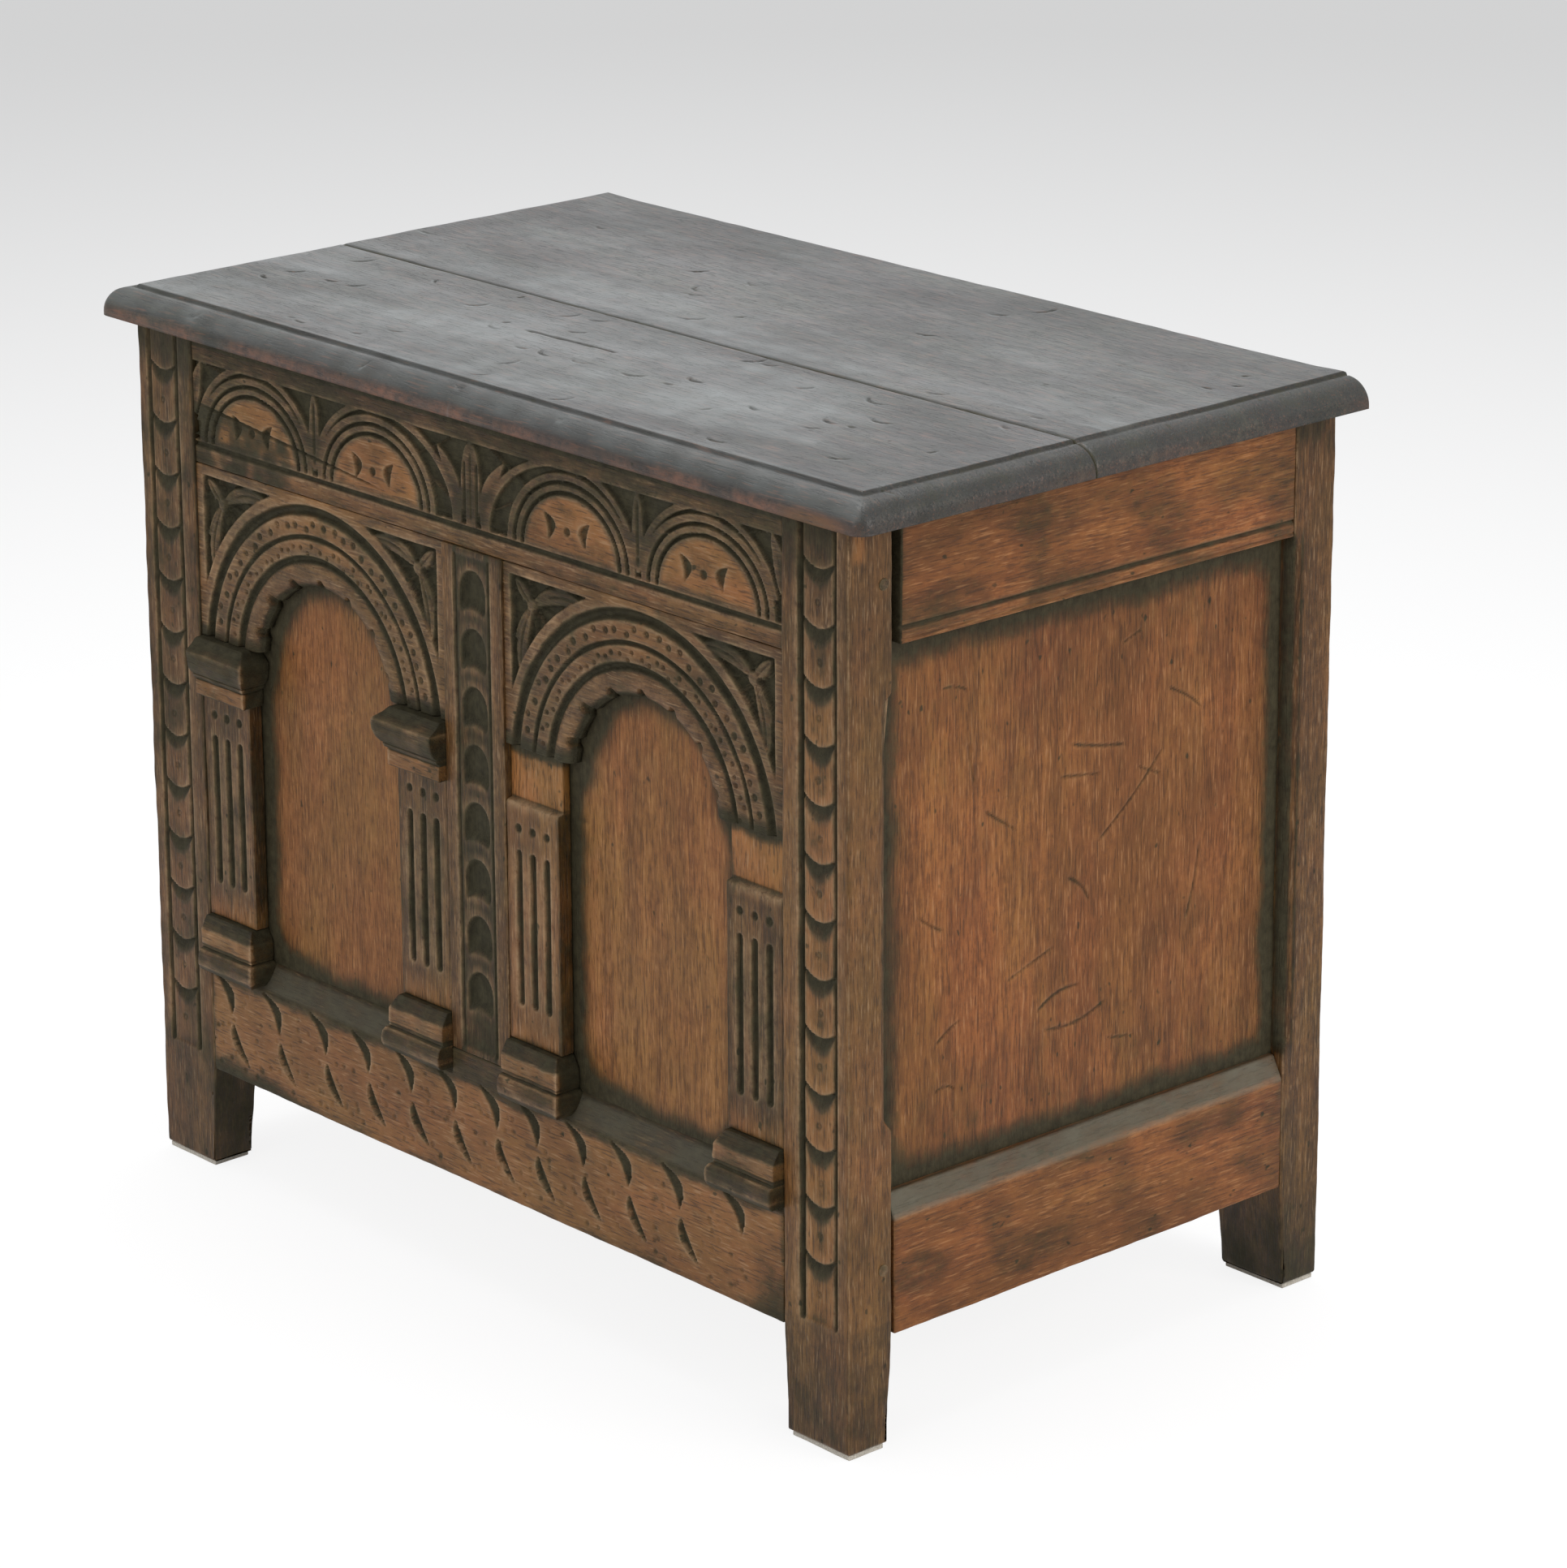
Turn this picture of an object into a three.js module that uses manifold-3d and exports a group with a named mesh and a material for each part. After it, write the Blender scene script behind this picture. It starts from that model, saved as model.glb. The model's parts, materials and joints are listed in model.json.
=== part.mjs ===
// A joined and carved oak coffer: a panelled box on four stile feet, with a hinged boarded lid.
// Millimetres, +Z up, the front faces -Y. The frame's origin is the middle of the footprint on the floor.
import * as THREE from "three";
import { mergeVertices } from "three/addons/utils/BufferGeometryUtils.js";
import Module from "manifold-3d";

const wasm = await Module();
wasm.setup();

// The carcass, measured over its stiles and from the floor pads up to the lid's underside
const carcassWidth = 640;
const carcassDepth = 382;
const carcassHeight = 539.5;
const padThickness = 3;
const padInset = 1.5;
const footHeight = 64;

// Clearance between pieces that touch, and how far a cutter runs past what it cuts
const fit = 0.3;
const overrun = 6;

// Stiles
const stileWidth = 54;
const stileThickness = 33;
const footTaper = 4;

// Joints of the framing
const tenonThickness = 8;
const tenonSetBack = 9;
const tenonShoulder = 10;
const frontTenonLength = 32;
const sideTenonLength = 21;
const grooveDepth = 9;
const panelExpansionRoom = 2;
const shoulderGap = 1;

// Front framing
const frontRailThickness = 27;
const frontTopRailHeight = 80.5;
const frontBottomRailHeight = 83;
const frontPanelSetBack = 11;
const frontPanelThickness = 8;
const muntinWidth = 54;
const sillChamferHeight = 17;

// Side framing
const sideRailThickness = 25;
const sideTopRailHeight = 73.5;
const sideBottomRailHeight = 83;
const sidePanelSetBack = 10;
const sidePanelThickness = 8;
const sideChamferHeight = 14;
const sideChamferDepth = 7;
const openedTopShoulderGap = 6;
const openedBottomShoulderGap = 2;
const panelShrinkage = 2.5;

// Back framing
const backRailThickness = 25;
const backTopRailHeight = 76;
const backBottomRailHeight = 80;
const backPanelSetBack = 8;
const backPanelThickness = 8;

// Stopped chamfers on the inner edges of the stiles' side faces
const edgeChamfer = 7;
const edgeStops = {
  front: { aboveBottomRail: 38, belowTopRail: 23 },
  rear: { aboveBottomRail: 3, belowTopRail: 0 },
};

// Pegs that pin the side rails in the front stiles
const pegRadius = 3.6;
const pegLength = 20;
const pegProud = 0.6;
const pegFromShoulder = 7;
const pegSides = 10;

// Floor of the chest
const floorBoards = 4;
const floorThickness = 10;
const floorBoardGap = 0.6;
const bearerHeight = 18;
const bearerThickness = 18;
const bearerBelowRailTop = 47;

// Lid
const lidThickness = 19.4;
const lidSideOverhang = 22.8;
const lidFrontOverhang = 12.2;
const lidBackOverhang = 2;
const lidFrontBoardDepth = 176;
const lidBoardGap = 0.4;
const lidCornerRadius = 9;
const mouldingWidth = 18.6;
const mouldingFillet = 3;
const mouldingQuirk = 1.6;
const quirkWidth = 1.8;
const battenWidth = 30;
const battenThickness = 14;
const battenFromStile = 14;
const battenFromFrame = 14;

// Butt hinges
const hingeLength = 56;
const hingeLeafWidth = 19;
const hingeLeafThickness = 1.8;
const hingeBarrelRadius = 3.2;
const hingeBoreRadius = 1.8;
const hingePinRadius = 1.5;
const hingePinHeadRadius = 2.7;
const hingePinHeadLength = 2.4;
const hingeFromStile = 76;
const hingeSides = 12;
const screwHoleRadius = 1.7;
const screwHeadRadius = 3.1;
const screwHoleSides = 8;
const screwFromEdge = 9;
const screwFromBarrel = 12;
const screwSinkDepth = 1.2;

// Arcaded front: arch boards, pilasters, capitals and bases planted on the panels
const archFaceSetBack = 1.5;
const archBoardHeight = 110;
const archCentreBelowBoard = 9;
const archInnerRadius = 63;
const archNickDepth = 3.2;
const archNickWidthShare = 0.24;
const archNicks = 7;
const archGrooves = [
  { inner: 78.5, outer: 82 },
  { inner: 93, outer: 95.2 },
  { inner: 109, outer: 113 },
];
const carvingDepth = 2.2;
const spandrelRadius = 119.5;
const spandrelMargin = 7;
const spandrelDepth = 5;
const pilasterWidth = 46.5;
const pilasterFaceSetBack = 0.8;
const seatHeight = 33;
const seatSetBack = 5;
const fluteWidth = 6;
const flutePitch = 12.5;
const fluteAboveBase = 22;
const fluteBelowTop = 29;
const fluteDepth = 3.5;
const flutes = 3;
const eyeRadius = 2.6;
const eyeBelowTop = 16;
const eyeDepth = 1.5;
const eyeSides = 8;
const capitalReturn = 9;
const capitalNeckingProjection = 5;
const capitalCorniceProjection = 12;
const capitalTopProjection = 4;
const capitalBelowTop = 3.5;
const capitalNeckingHeight = 10;
const capitalOvoloHeight = 8.5;
const capitalTopSlope = 7;
const baseReturn = 8;
const baseBelowSill = 14;
const baseProfile = [
  { height: 0, projection: 8.6 },
  { height: 2.6, projection: 10.4 },
  { height: 6, projection: 11 },
  { height: 11, projection: 10.6 },
  { height: 14, projection: 9.2 },
  { height: 15, projection: 7 },
  { height: 17.5, projection: 7.6 },
  { height: 27, projection: 7.6 },
  { height: 35, projection: 3 },
];

// Lunettes of the top rail
const lunettePitch = 116.5;
const lunetteAboveEdge = 15;
const lunetteRings = [
  { inner: 36.5, outer: 39 },
  { inner: 43.5, outer: 45.5 },
  { inner: 50, outer: 53 },
];
const baseLineHeight = 3.5;
const baseLineInset = 8;
const leafWidth = 12;
const leafHeight = 40;
const leafGroove = 2.2;

// Scale carving of the stiles and of the muntin
const scaleChannelWidth = 31;
const scaleChannelInset = 9.5;
const scaleGroove = 4;
const scalePitch = 33.5;
const scaleBelowLid = 23.5;
const scaleUpperSag = 4.5;
const scaleLowerSag = 9.5;
const scaleIntoGroove = 1;
const channelAboveFoot = 8;
const channelBelowLid = 8;
const hollowPitch = 35.2;
const hollowBelowRail = 16;
const hollowHeight = 24;
const hollowWidth = 21;
const hollowSag = 9;
const muntinChannelWidth = 29;

// Crescent carving of the bottom rail
const crescentPitch = 43.6;
const crescentFromStile = 4;
const crescentAboveEdge = 12;
const crescentBelowSill = 6;
const crescentGap = 2.2;
const crescentLean = 19;
const crescentNearSag = 2.5;
const crescentFarSag = 8.5;

// Roundness of curves, in steps for each arc
const arcSteps = 16;
const smallArcSteps = 5;

// Sizes that follow from the ones above
const halfWidth = carcassWidth / 2;
const feetZ = padThickness + fit;
const frameTop = feetZ + carcassHeight;
const railBottom = feetZ + footHeight;
const lidUnderside = frameTop + fit;
const innerHalf = halfWidth - stileWidth;
const pinY = carcassDepth + lidBackOverhang + fit + hingeBarrelRadius;
const pinZ = (frameTop + lidUnderside) / 2;
const totalDepth = lidFrontOverhang + pinY + hingeBarrelRadius;

// Finishes
const finishes = {
  frame: { color: 0x6b4428, roughness: 0.5, metalness: 0 },
  carved: { color: 0x5c3d26, roughness: 0.55, metalness: 0 },
  panel: { color: 0x8a5a2c, roughness: 0.5, metalness: 0 },
  lid: { color: 0x3a302b, roughness: 0.38, metalness: 0 },
  inside: { color: 0x7d5f42, roughness: 0.75, metalness: 0 },
  peg: { color: 0x33241a, roughness: 0.6, metalness: 0 },
  brass: { color: 0x8d7338, roughness: 0.4, metalness: 1 },
  felt: { color: 0xb9b2a4, roughness: 0.95, metalness: 0 },
};

const coffer = new THREE.Group();
coffer.position.y = lidFrontOverhang - totalDepth / 2;

// A closed geometry as a solid that can be cut and joined.
function solid(geometry) {
  geometry.deleteAttribute("normal");
  geometry.deleteAttribute("uv");
  const merged = mergeVertices(geometry);
  return new wasm.Manifold(
    new wasm.Mesh({
      numProp: 3,
      vertProperties: new Float32Array(merged.attributes.position.array),
      triVerts: new Uint32Array(merged.index.array),
    }),
  );
}

// A finished solid as a named mesh of the chest.
function piece(name, body, finish) {
  const mesh = body.getMesh();
  const geometry = new THREE.BufferGeometry();
  const corners = new Float32Array(mesh.vertProperties);
  geometry.setAttribute("position", new THREE.BufferAttribute(corners, mesh.numProp));
  geometry.setIndex(new THREE.BufferAttribute(new Uint32Array(mesh.triVerts), 1));
  geometry.computeVertexNormals();
  const material = new THREE.MeshStandardMaterial({ ...finishes[finish], flatShading: true });
  const made = new THREE.Mesh(geometry, material);
  made.name = name;
  coffer.add(made);
}

const low = (range) => Math.min(...range);
const high = (range) => Math.max(...range);
const middle = (range) => (range[0] + range[1]) / 2;
const widened = (range, by) => [low(range) - by, high(range) + by];

// A block between two values on each axis.
function box(x, y, z) {
  const size = [x, y, z].map((range) => high(range) - low(range));
  const block = new THREE.BoxGeometry(...size);
  block.translate(middle(x), middle(y), middle(z));
  return solid(block);
}

const shapeOf = (points) => new THREE.Shape(points.map(([a, b]) => new THREE.Vector2(a, b)));

// A straight moulding: an outline of two coordinates, run along the third.
function run(axis, points, range) {
  const depth = high(range) - low(range);
  const bar = new THREE.ExtrudeGeometry(shapeOf(points), { depth, bevelEnabled: false });
  const x = new THREE.Vector3(1, 0, 0);
  const y = new THREE.Vector3(0, 1, 0);
  const z = new THREE.Vector3(0, 0, 1);
  const turn = new THREE.Matrix4();
  if (axis === "x") turn.makeBasis(y, z, x).setPosition(low(range), 0, 0);
  if (axis === "y") turn.makeBasis(x, z, y.clone().negate()).setPosition(0, high(range), 0);
  if (axis === "z") turn.makeBasis(x, y, z).setPosition(0, 0, low(range));
  bar.applyMatrix4(turn);
  return solid(bar);
}

// A round bar along x.
function roundBar(radius, range, y, z, sides) {
  const bar = new THREE.CylinderGeometry(radius, radius, high(range) - low(range), sides);
  bar.rotateZ(Math.PI / 2);
  bar.translate(middle(range), y, z);
  return solid(bar);
}

const joined = (parts) => parts.reduce((all, part) => all.add(part));
const cutBy = (body, cutters) => cutters.reduce((rest, cutter) => rest.subtract(cutter), body);

// Each side of the carcass is laid out along u, with w the depth in from its outer face.
const sides = {
  front: {
    box: (u, w, z) => box(u, w, z),
    run: (outline, u) => run("x", outline, u),
  },
  back: {
    box: (u, w, z) => box(u, w.map((v) => carcassDepth - v), z),
    run: (outline, u) => run("x", outline.map(([w, z]) => [carcassDepth - w, z]), u),
  },
  left: {
    box: (u, w, z) => box(w.map((v) => v - halfWidth), u, z),
    run: (outline, u) => run("y", outline.map(([w, z]) => [w - halfWidth, z]), u),
  },
  right: {
    box: (u, w, z) => box(w.map((v) => halfWidth - v), u, z),
    run: (outline, u) => run("y", outline.map(([w, z]) => [halfWidth - w, z]), u),
  },
};

const tenonDepths = [tenonSetBack, tenonSetBack + tenonThickness];

// A rail with a tenon at each end. It returns the rail and the mortises that the stiles need.
function rail(side, { span, thickness, z, tenonLength, gaps }) {
  const shoulders = [span[0] + gaps[0], span[1] - gaps[1]];
  const tenonZ = widened(z, -tenonShoulder);
  const tenonU = widened(span, tenonLength);
  const tenons = side.box(tenonU, tenonDepths, tenonZ);
  return {
    body: side.box(shoulders, [0, thickness], z).add(tenons),
    mortise: side.box(widened(tenonU, fit), widened(tenonDepths, fit), widened(tenonZ, fit)),
  };
}

// The groove that holds a panel's edges, and the panel itself.
function panelIn(side, { u, z, setBack, thickness, edges = [0, 0] }) {
  const depth = [setBack, setBack + thickness];
  const tongue = grooveDepth - panelExpansionRoom;
  const reach = widened(u, tongue);
  return {
    body: side.box([reach[0] + edges[0], reach[1] - edges[1]], depth, widened(z, tongue)),
    groove: side.box(widened(u, grooveDepth), widened(depth, fit), widened(z, grooveDepth)),
  };
}

const stileSpanX = [-innerHalf, innerHalf];
const stileSpanY = [stileThickness, carcassDepth - stileThickness];

// Front framing
const frontTopZ = [frameTop - frontTopRailHeight, frameTop];
const frontBottomZ = [railBottom, railBottom + frontBottomRailHeight];
const frontPanelZ = [high(frontBottomZ), low(frontTopZ)];
const muntinU = [-muntinWidth / 2, muntinWidth / 2];
const panelSpans = { left: [-innerHalf, low(muntinU)], right: [high(muntinU), innerHalf] };
const longRail = { span: stileSpanX, tenonLength: frontTenonLength, gaps: [fit, fit] };

const frontTop = rail(sides.front, { ...longRail, thickness: frontRailThickness, z: frontTopZ });
const frontBottom = rail(sides.front, { ...longRail, thickness: frontRailThickness, z: frontBottomZ });
const frontPanels = Object.fromEntries(
  Object.entries(panelSpans).map(([name, u]) => [
    name,
    panelIn(sides.front, { u, z: frontPanelZ, setBack: frontPanelSetBack, thickness: frontPanelThickness }),
  ]),
);
const frontGrooves = Object.values(frontPanels).map((panel) => panel.groove);

// An upright between the rails, with a tenon at each end.
function muntin(side, { thickness, z }) {
  const tenonZ = widened(z, grooveDepth);
  return {
    body: side.box(muntinU, [0, thickness], widened(z, -fit)).add(side.box(muntinU, tenonDepths, tenonZ)),
    mortise: side.box(widened(muntinU, fit), widened(tenonDepths, fit), widened(tenonZ, fit)),
  };
}
const frontMuntin = muntin(sides.front, { thickness: frontRailThickness, z: frontPanelZ });

// Part of a ring in the front's plane, cut from the face to a depth.
function ringCut(centreX, centreZ, inner, outer, depth, steps, from = 0, to = Math.PI) {
  const outline = [];
  for (let i = 0; i <= steps; i++) {
    const angle = from + ((to - from) * i) / steps;
    outline.push([centreX + outer * Math.cos(angle), centreZ + outer * Math.sin(angle)]);
  }
  for (let i = steps; i >= 0; i--) {
    const angle = from + ((to - from) * i) / steps;
    outline.push([centreX + inner * Math.cos(angle), centreZ + inner * Math.sin(angle)]);
  }
  return run("y", outline, depth);
}

// The hollow between two bowed lines that share both ends, bowed to the right of the way from a to b.
function crescent(a, b, nearSag, farSag, depth) {
  const along = [b[0] - a[0], b[1] - a[1]];
  const length = Math.hypot(...along);
  const across = [along[1] / length, -along[0] / length];
  const bowed = (sag, share) => {
    const bow = sag * Math.sin(Math.PI * share);
    return [a[0] + along[0] * share + across[0] * bow, a[1] + along[1] * share + across[1] * bow];
  };
  const outline = [];
  for (let i = 0; i <= smallArcSteps; i++) outline.push(bowed(farSag, i / smallArcSteps));
  for (let i = smallArcSteps - 1; i > 0; i--) outline.push(bowed(nearSag, i / smallArcSteps));
  return run("y", outline, depth);
}

// Top rail: four lunettes, a line under them and a leaf between each pair
const frontFaceCut = [-overrun, carvingDepth];
const lunetteZ = low(frontTopZ) + lunetteAboveEdge;
const bayCentres = Object.values(panelSpans).map(middle);
const lunetteCentres = bayCentres.flatMap((x) => [x - lunettePitch / 2, x + lunettePitch / 2]);
const lunetteCuts = lunetteCentres.flatMap((x) =>
  lunetteRings.map((ring) => ringCut(x, lunetteZ, ring.inner, ring.outer, frontFaceCut, arcSteps)),
);
const baseLineU = widened(stileSpanX, -baseLineInset);
lunetteCuts.push(box(baseLineU, frontFaceCut, [lunetteZ - baseLineHeight, lunetteZ]));
for (const x of [...bayCentres, 0]) {
  for (const side of [-1, 1]) {
    const edge = [x + (side * leafWidth) / 2, x + side * (leafWidth / 2 + leafGroove)];
    lunetteCuts.push(box(edge, frontFaceCut, [lunetteZ, lunetteZ + leafHeight]));
  }
}
const frontTopCuts = [...frontGrooves, frontMuntin.mortise, ...lunetteCuts];
piece("front_top_rail", cutBy(frontTop.body, frontTopCuts), "carved");

// Bottom rail: a chamfered sill below each panel and a run of paired crescents
const sillFoot = high(frontBottomZ) - sillChamferHeight;
const sillSlope = sillChamferHeight / frontPanelSetBack;
const sillOutline = [
  [-overrun, sillFoot - overrun * sillSlope],
  [frontPanelSetBack, high(frontBottomZ)],
  [frontPanelSetBack, high(frontBottomZ) + overrun],
  [-overrun, high(frontBottomZ) + overrun],
];
const sillCuts = Object.values(panelSpans).map((u) => sides.front.run(sillOutline, u));
const crescentCuts = [];
const crescentTop = sillFoot - crescentBelowSill;
const crescentBottom = railBottom + crescentAboveEdge;
const crescentMiddle = (crescentTop + crescentBottom) / 2;
const lastCrescent = innerHalf - crescentPitch;
for (let x = crescentFromStile - innerHalf; x < innerHalf - crescentLean; x += crescentPitch) {
  const turn = x + crescentLean;
  const upper = [[x, crescentTop], [turn, crescentMiddle + crescentGap]];
  crescentCuts.push(crescent(...upper, -crescentNearSag, -crescentFarSag, frontFaceCut));
  if (x > lastCrescent) break;
  const lower = [[turn, crescentMiddle - crescentGap], [turn + crescentLean, crescentBottom]];
  crescentCuts.push(crescent(...lower, crescentNearSag, crescentFarSag, frontFaceCut));
}
piece(
  "front_bottom_rail",
  cutBy(frontBottom.body, [...frontGrooves, frontMuntin.mortise, ...sillCuts, ...crescentCuts]),
  "carved",
);

// Muntin: a channel of round-topped hollows, one above another
const muntinCuts = [...frontGrooves];
const muntinChannelZ = widened(frontPanelZ, -baseLineInset);
for (const side of [-1, 1]) {
  const edge = (side * muntinChannelWidth) / 2;
  muntinCuts.push(box([edge, edge + side * leafGroove], frontFaceCut, muntinChannelZ));
}
const firstHollow = high(frontPanelZ) - hollowBelowRail;
for (let top = firstHollow; top - hollowHeight > low(frontPanelZ); top -= hollowPitch) {
  const left = [-hollowWidth / 2, top - hollowSag];
  const right = [hollowWidth / 2, top - hollowSag];
  const arch = crescent(left, right, -hollowSag, 0, frontFaceCut);
  const body = box([left[0], right[0]], frontFaceCut, [top - hollowHeight, top - hollowSag]);
  muntinCuts.push(arch.add(body));
}
piece("front_muntin", cutBy(frontMuntin.body, muntinCuts), "carved");

for (const [name, panel] of Object.entries(frontPanels)) piece(`front_${name}_panel`, panel.body, "panel");

const seatTop = high(frontPanelZ) - archBoardHeight;
const shaftTop = seatTop - seatHeight;
const baseBottom = high(frontBottomZ) - baseBelowSill;
const baseTop = baseBottom + Math.max(...baseProfile.map(({ height }) => height));

// Arch board: fills the head of the bay, with a nicked arch edge, ring grooves and sunk spandrels
function archBoard(u) {
  const x = middle(u);
  const edges = widened(u, -fit);
  const top = high(frontPanelZ) - fit;
  const bottom = seatTop + fit;
  const centreZ = seatTop - archCentreBelowBoard;
  const spring = Math.asin((bottom - centreZ) / archInnerRadius);
  const sweep = Math.PI - 2 * spring;
  const outline = [[low(edges), bottom], [low(edges), top], [high(edges), top], [high(edges), bottom]];
  const arcPoint = (share, radius) => {
    const angle = spring + sweep * share;
    return [x + radius * Math.cos(angle), centreZ + radius * Math.sin(angle)];
  };
  outline.push(arcPoint(0, archInnerRadius));
  for (let i = 0; i < archNicks; i++) {
    const nickShare = (i + 1 / 2) / archNicks;
    const halfNick = archNickWidthShare / archNicks / 2;
    outline.push(arcPoint(nickShare - halfNick, archInnerRadius));
    outline.push(arcPoint(nickShare, archInnerRadius + archNickDepth));
    outline.push(arcPoint(nickShare + halfNick, archInnerRadius));
  }
  outline.push(arcPoint(1, archInnerRadius));
  const depth = [archFaceSetBack, frontPanelSetBack - fit];
  const cutDepth = [-overrun, archFaceSetBack + carvingDepth];
  const cuts = archGrooves.map((ring) => ringCut(x, centreZ, ring.inner, ring.outer, cutDepth, arcSteps));
  const sunk = [-overrun, archFaceSetBack + spandrelDepth];
  const corner = box(widened(edges, -spandrelMargin), sunk, [centreZ, top - spandrelMargin]);
  const round = ringCut(x, centreZ, 0, spandrelRadius, widened(sunk, overrun), arcSteps);
  return cutBy(run("y", outline, depth), [...cuts, corner.subtract(round)]);
}

// Pilaster: a fluted shaft with three eyes over it and a lower seat for the capital
function pilaster(u) {
  const back = frontPanelSetBack - fit;
  const shaft = box(u, [pilasterFaceSetBack, back], [baseTop + fit, shaftTop]);
  const seat = box(u, [seatSetBack, back], [shaftTop, seatTop]);
  const cuts = [];
  for (let i = 0; i < flutes; i++) {
    const x = middle(u) + (i - (flutes - 1) / 2) * flutePitch;
    const deep = [-overrun, pilasterFaceSetBack + fluteDepth];
    const bottomZ = baseTop + fluteAboveBase + fluteWidth / 2;
    const topZ = shaftTop - fluteBelowTop - fluteWidth / 2;
    const head = ringCut(x, topZ, 0, fluteWidth / 2, deep, smallArcSteps);
    const foot = ringCut(x, bottomZ, 0, fluteWidth / 2, deep, smallArcSteps, Math.PI, 2 * Math.PI);
    cuts.push(joined([box([x - fluteWidth / 2, x + fluteWidth / 2], deep, [bottomZ, topZ]), head, foot]));
    const eyeLength = 2 * (pilasterFaceSetBack + eyeDepth);
    const eye = new THREE.CylinderGeometry(eyeRadius, eyeRadius, eyeLength, eyeSides);
    eye.translate(x, 0, shaftTop - eyeBelowTop);
    cuts.push(solid(eye));
  }
  return cutBy(shaft.add(seat), cuts);
}

// A moulded block with its profile along the front and returned round the inner end.
function returned(profile, u, inner, backW) {
  const face = run("x", [...profile.map(([p, z]) => [-p, z]), ...backW], u);
  const largest = Math.max(...profile.map(([p]) => p));
  const end = inner > 0 ? high(u) : low(u);
  const far = inner > 0 ? low(u) - overrun : high(u) + overrun;
  const endProfile = profile.map(([p, z]) => [end - inner * (largest - p), z]);
  const zs = profile.map(([, z]) => z);
  const endOutline = [...endProfile, [far, zs.at(-1)], [far, zs[0]]];
  return face.intersect(run("y", endOutline, [-largest - overrun, frontPanelSetBack + overrun]));
}

function capital(u, inner) {
  const ends = inner > 0 ? [low(u), high(u) + capitalReturn] : [low(u) - capitalReturn, high(u)];
  const foot = shaftTop - capitalBelowTop;
  const neck = foot + capitalNeckingHeight;
  const profile = [
    [capitalNeckingProjection, foot],
    [capitalNeckingProjection, neck],
    [capitalCorniceProjection, neck + capitalOvoloHeight],
    [capitalCorniceProjection, seatTop - capitalTopSlope],
    [capitalTopProjection, seatTop],
  ];
  const back = [[frontPanelSetBack - fit, seatTop], [frontPanelSetBack - fit, foot]];
  const shaft = box(widened(u, fit), [pilasterFaceSetBack - fit, frontPanelSetBack], [0, shaftTop + fit]);
  const seat = box(widened(u, fit), [seatSetBack - fit, frontPanelSetBack], [0, frameTop]);
  return cutBy(returned(profile, ends, inner, back), [shaft, seat]);
}

function base(u, inner) {
  const ends = inner > 0 ? [low(u), high(u) + baseReturn] : [low(u) - baseReturn, high(u)];
  const profile = baseProfile.map(({ height, projection }) => [projection, baseBottom + height]);
  const back = [
    [frontPanelSetBack - fit, baseTop],
    [frontPanelSetBack - fit, high(frontBottomZ) + fit],
    [(baseBottom - sillFoot) / sillSlope - fit, baseBottom],
  ];
  return returned(profile, ends, inner, back);
}

for (const [bay, span] of Object.entries(panelSpans)) {
  const edges = widened(span, -fit);
  piece(`${bay}_arch`, archBoard(span), "carved");
  const places = {
    left: { u: [low(edges), low(edges) + pilasterWidth], inner: 1 },
    right: { u: [high(edges) - pilasterWidth, high(edges)], inner: -1 },
  };
  for (const [hand, { u, inner }] of Object.entries(places)) {
    piece(`${bay}_arch_${hand}_pilaster`, pilaster(u), "carved");
    piece(`${bay}_arch_${hand}_base`, base(u, inner), "carved");
    // The right bay has lost its two capitals, and its bare seats show.
    if (bay === "left") piece(`${bay}_arch_${hand}_capital`, capital(u, inner), "carved");
  }
}

// Side framing
const sideTopZ = [frameTop - sideTopRailHeight, frameTop];
const sideBottomZ = [railBottom, railBottom + sideBottomRailHeight];
const sidePanelZ = [high(sideBottomZ), low(sideTopZ)];
const sideShoulders = {
  left: { top: [shoulderGap, fit], bottom: [shoulderGap, fit], panel: [0, 0] },
  right: {
    top: [openedTopShoulderGap, fit],
    bottom: [openedBottomShoulderGap, fit],
    panel: [0, panelShrinkage],
  },
};
const sideBevel = [
  [-overrun, high(sideBottomZ) - sideChamferHeight - overrun * (sideChamferHeight / sideChamferDepth)],
  [sideChamferDepth, high(sideBottomZ)],
  [sideChamferDepth, high(sideBottomZ) + overrun],
  [-overrun, high(sideBottomZ) + overrun],
];
const mortises = { left: [], right: [] };
const pegsIn = { left: [], right: [] };
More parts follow.
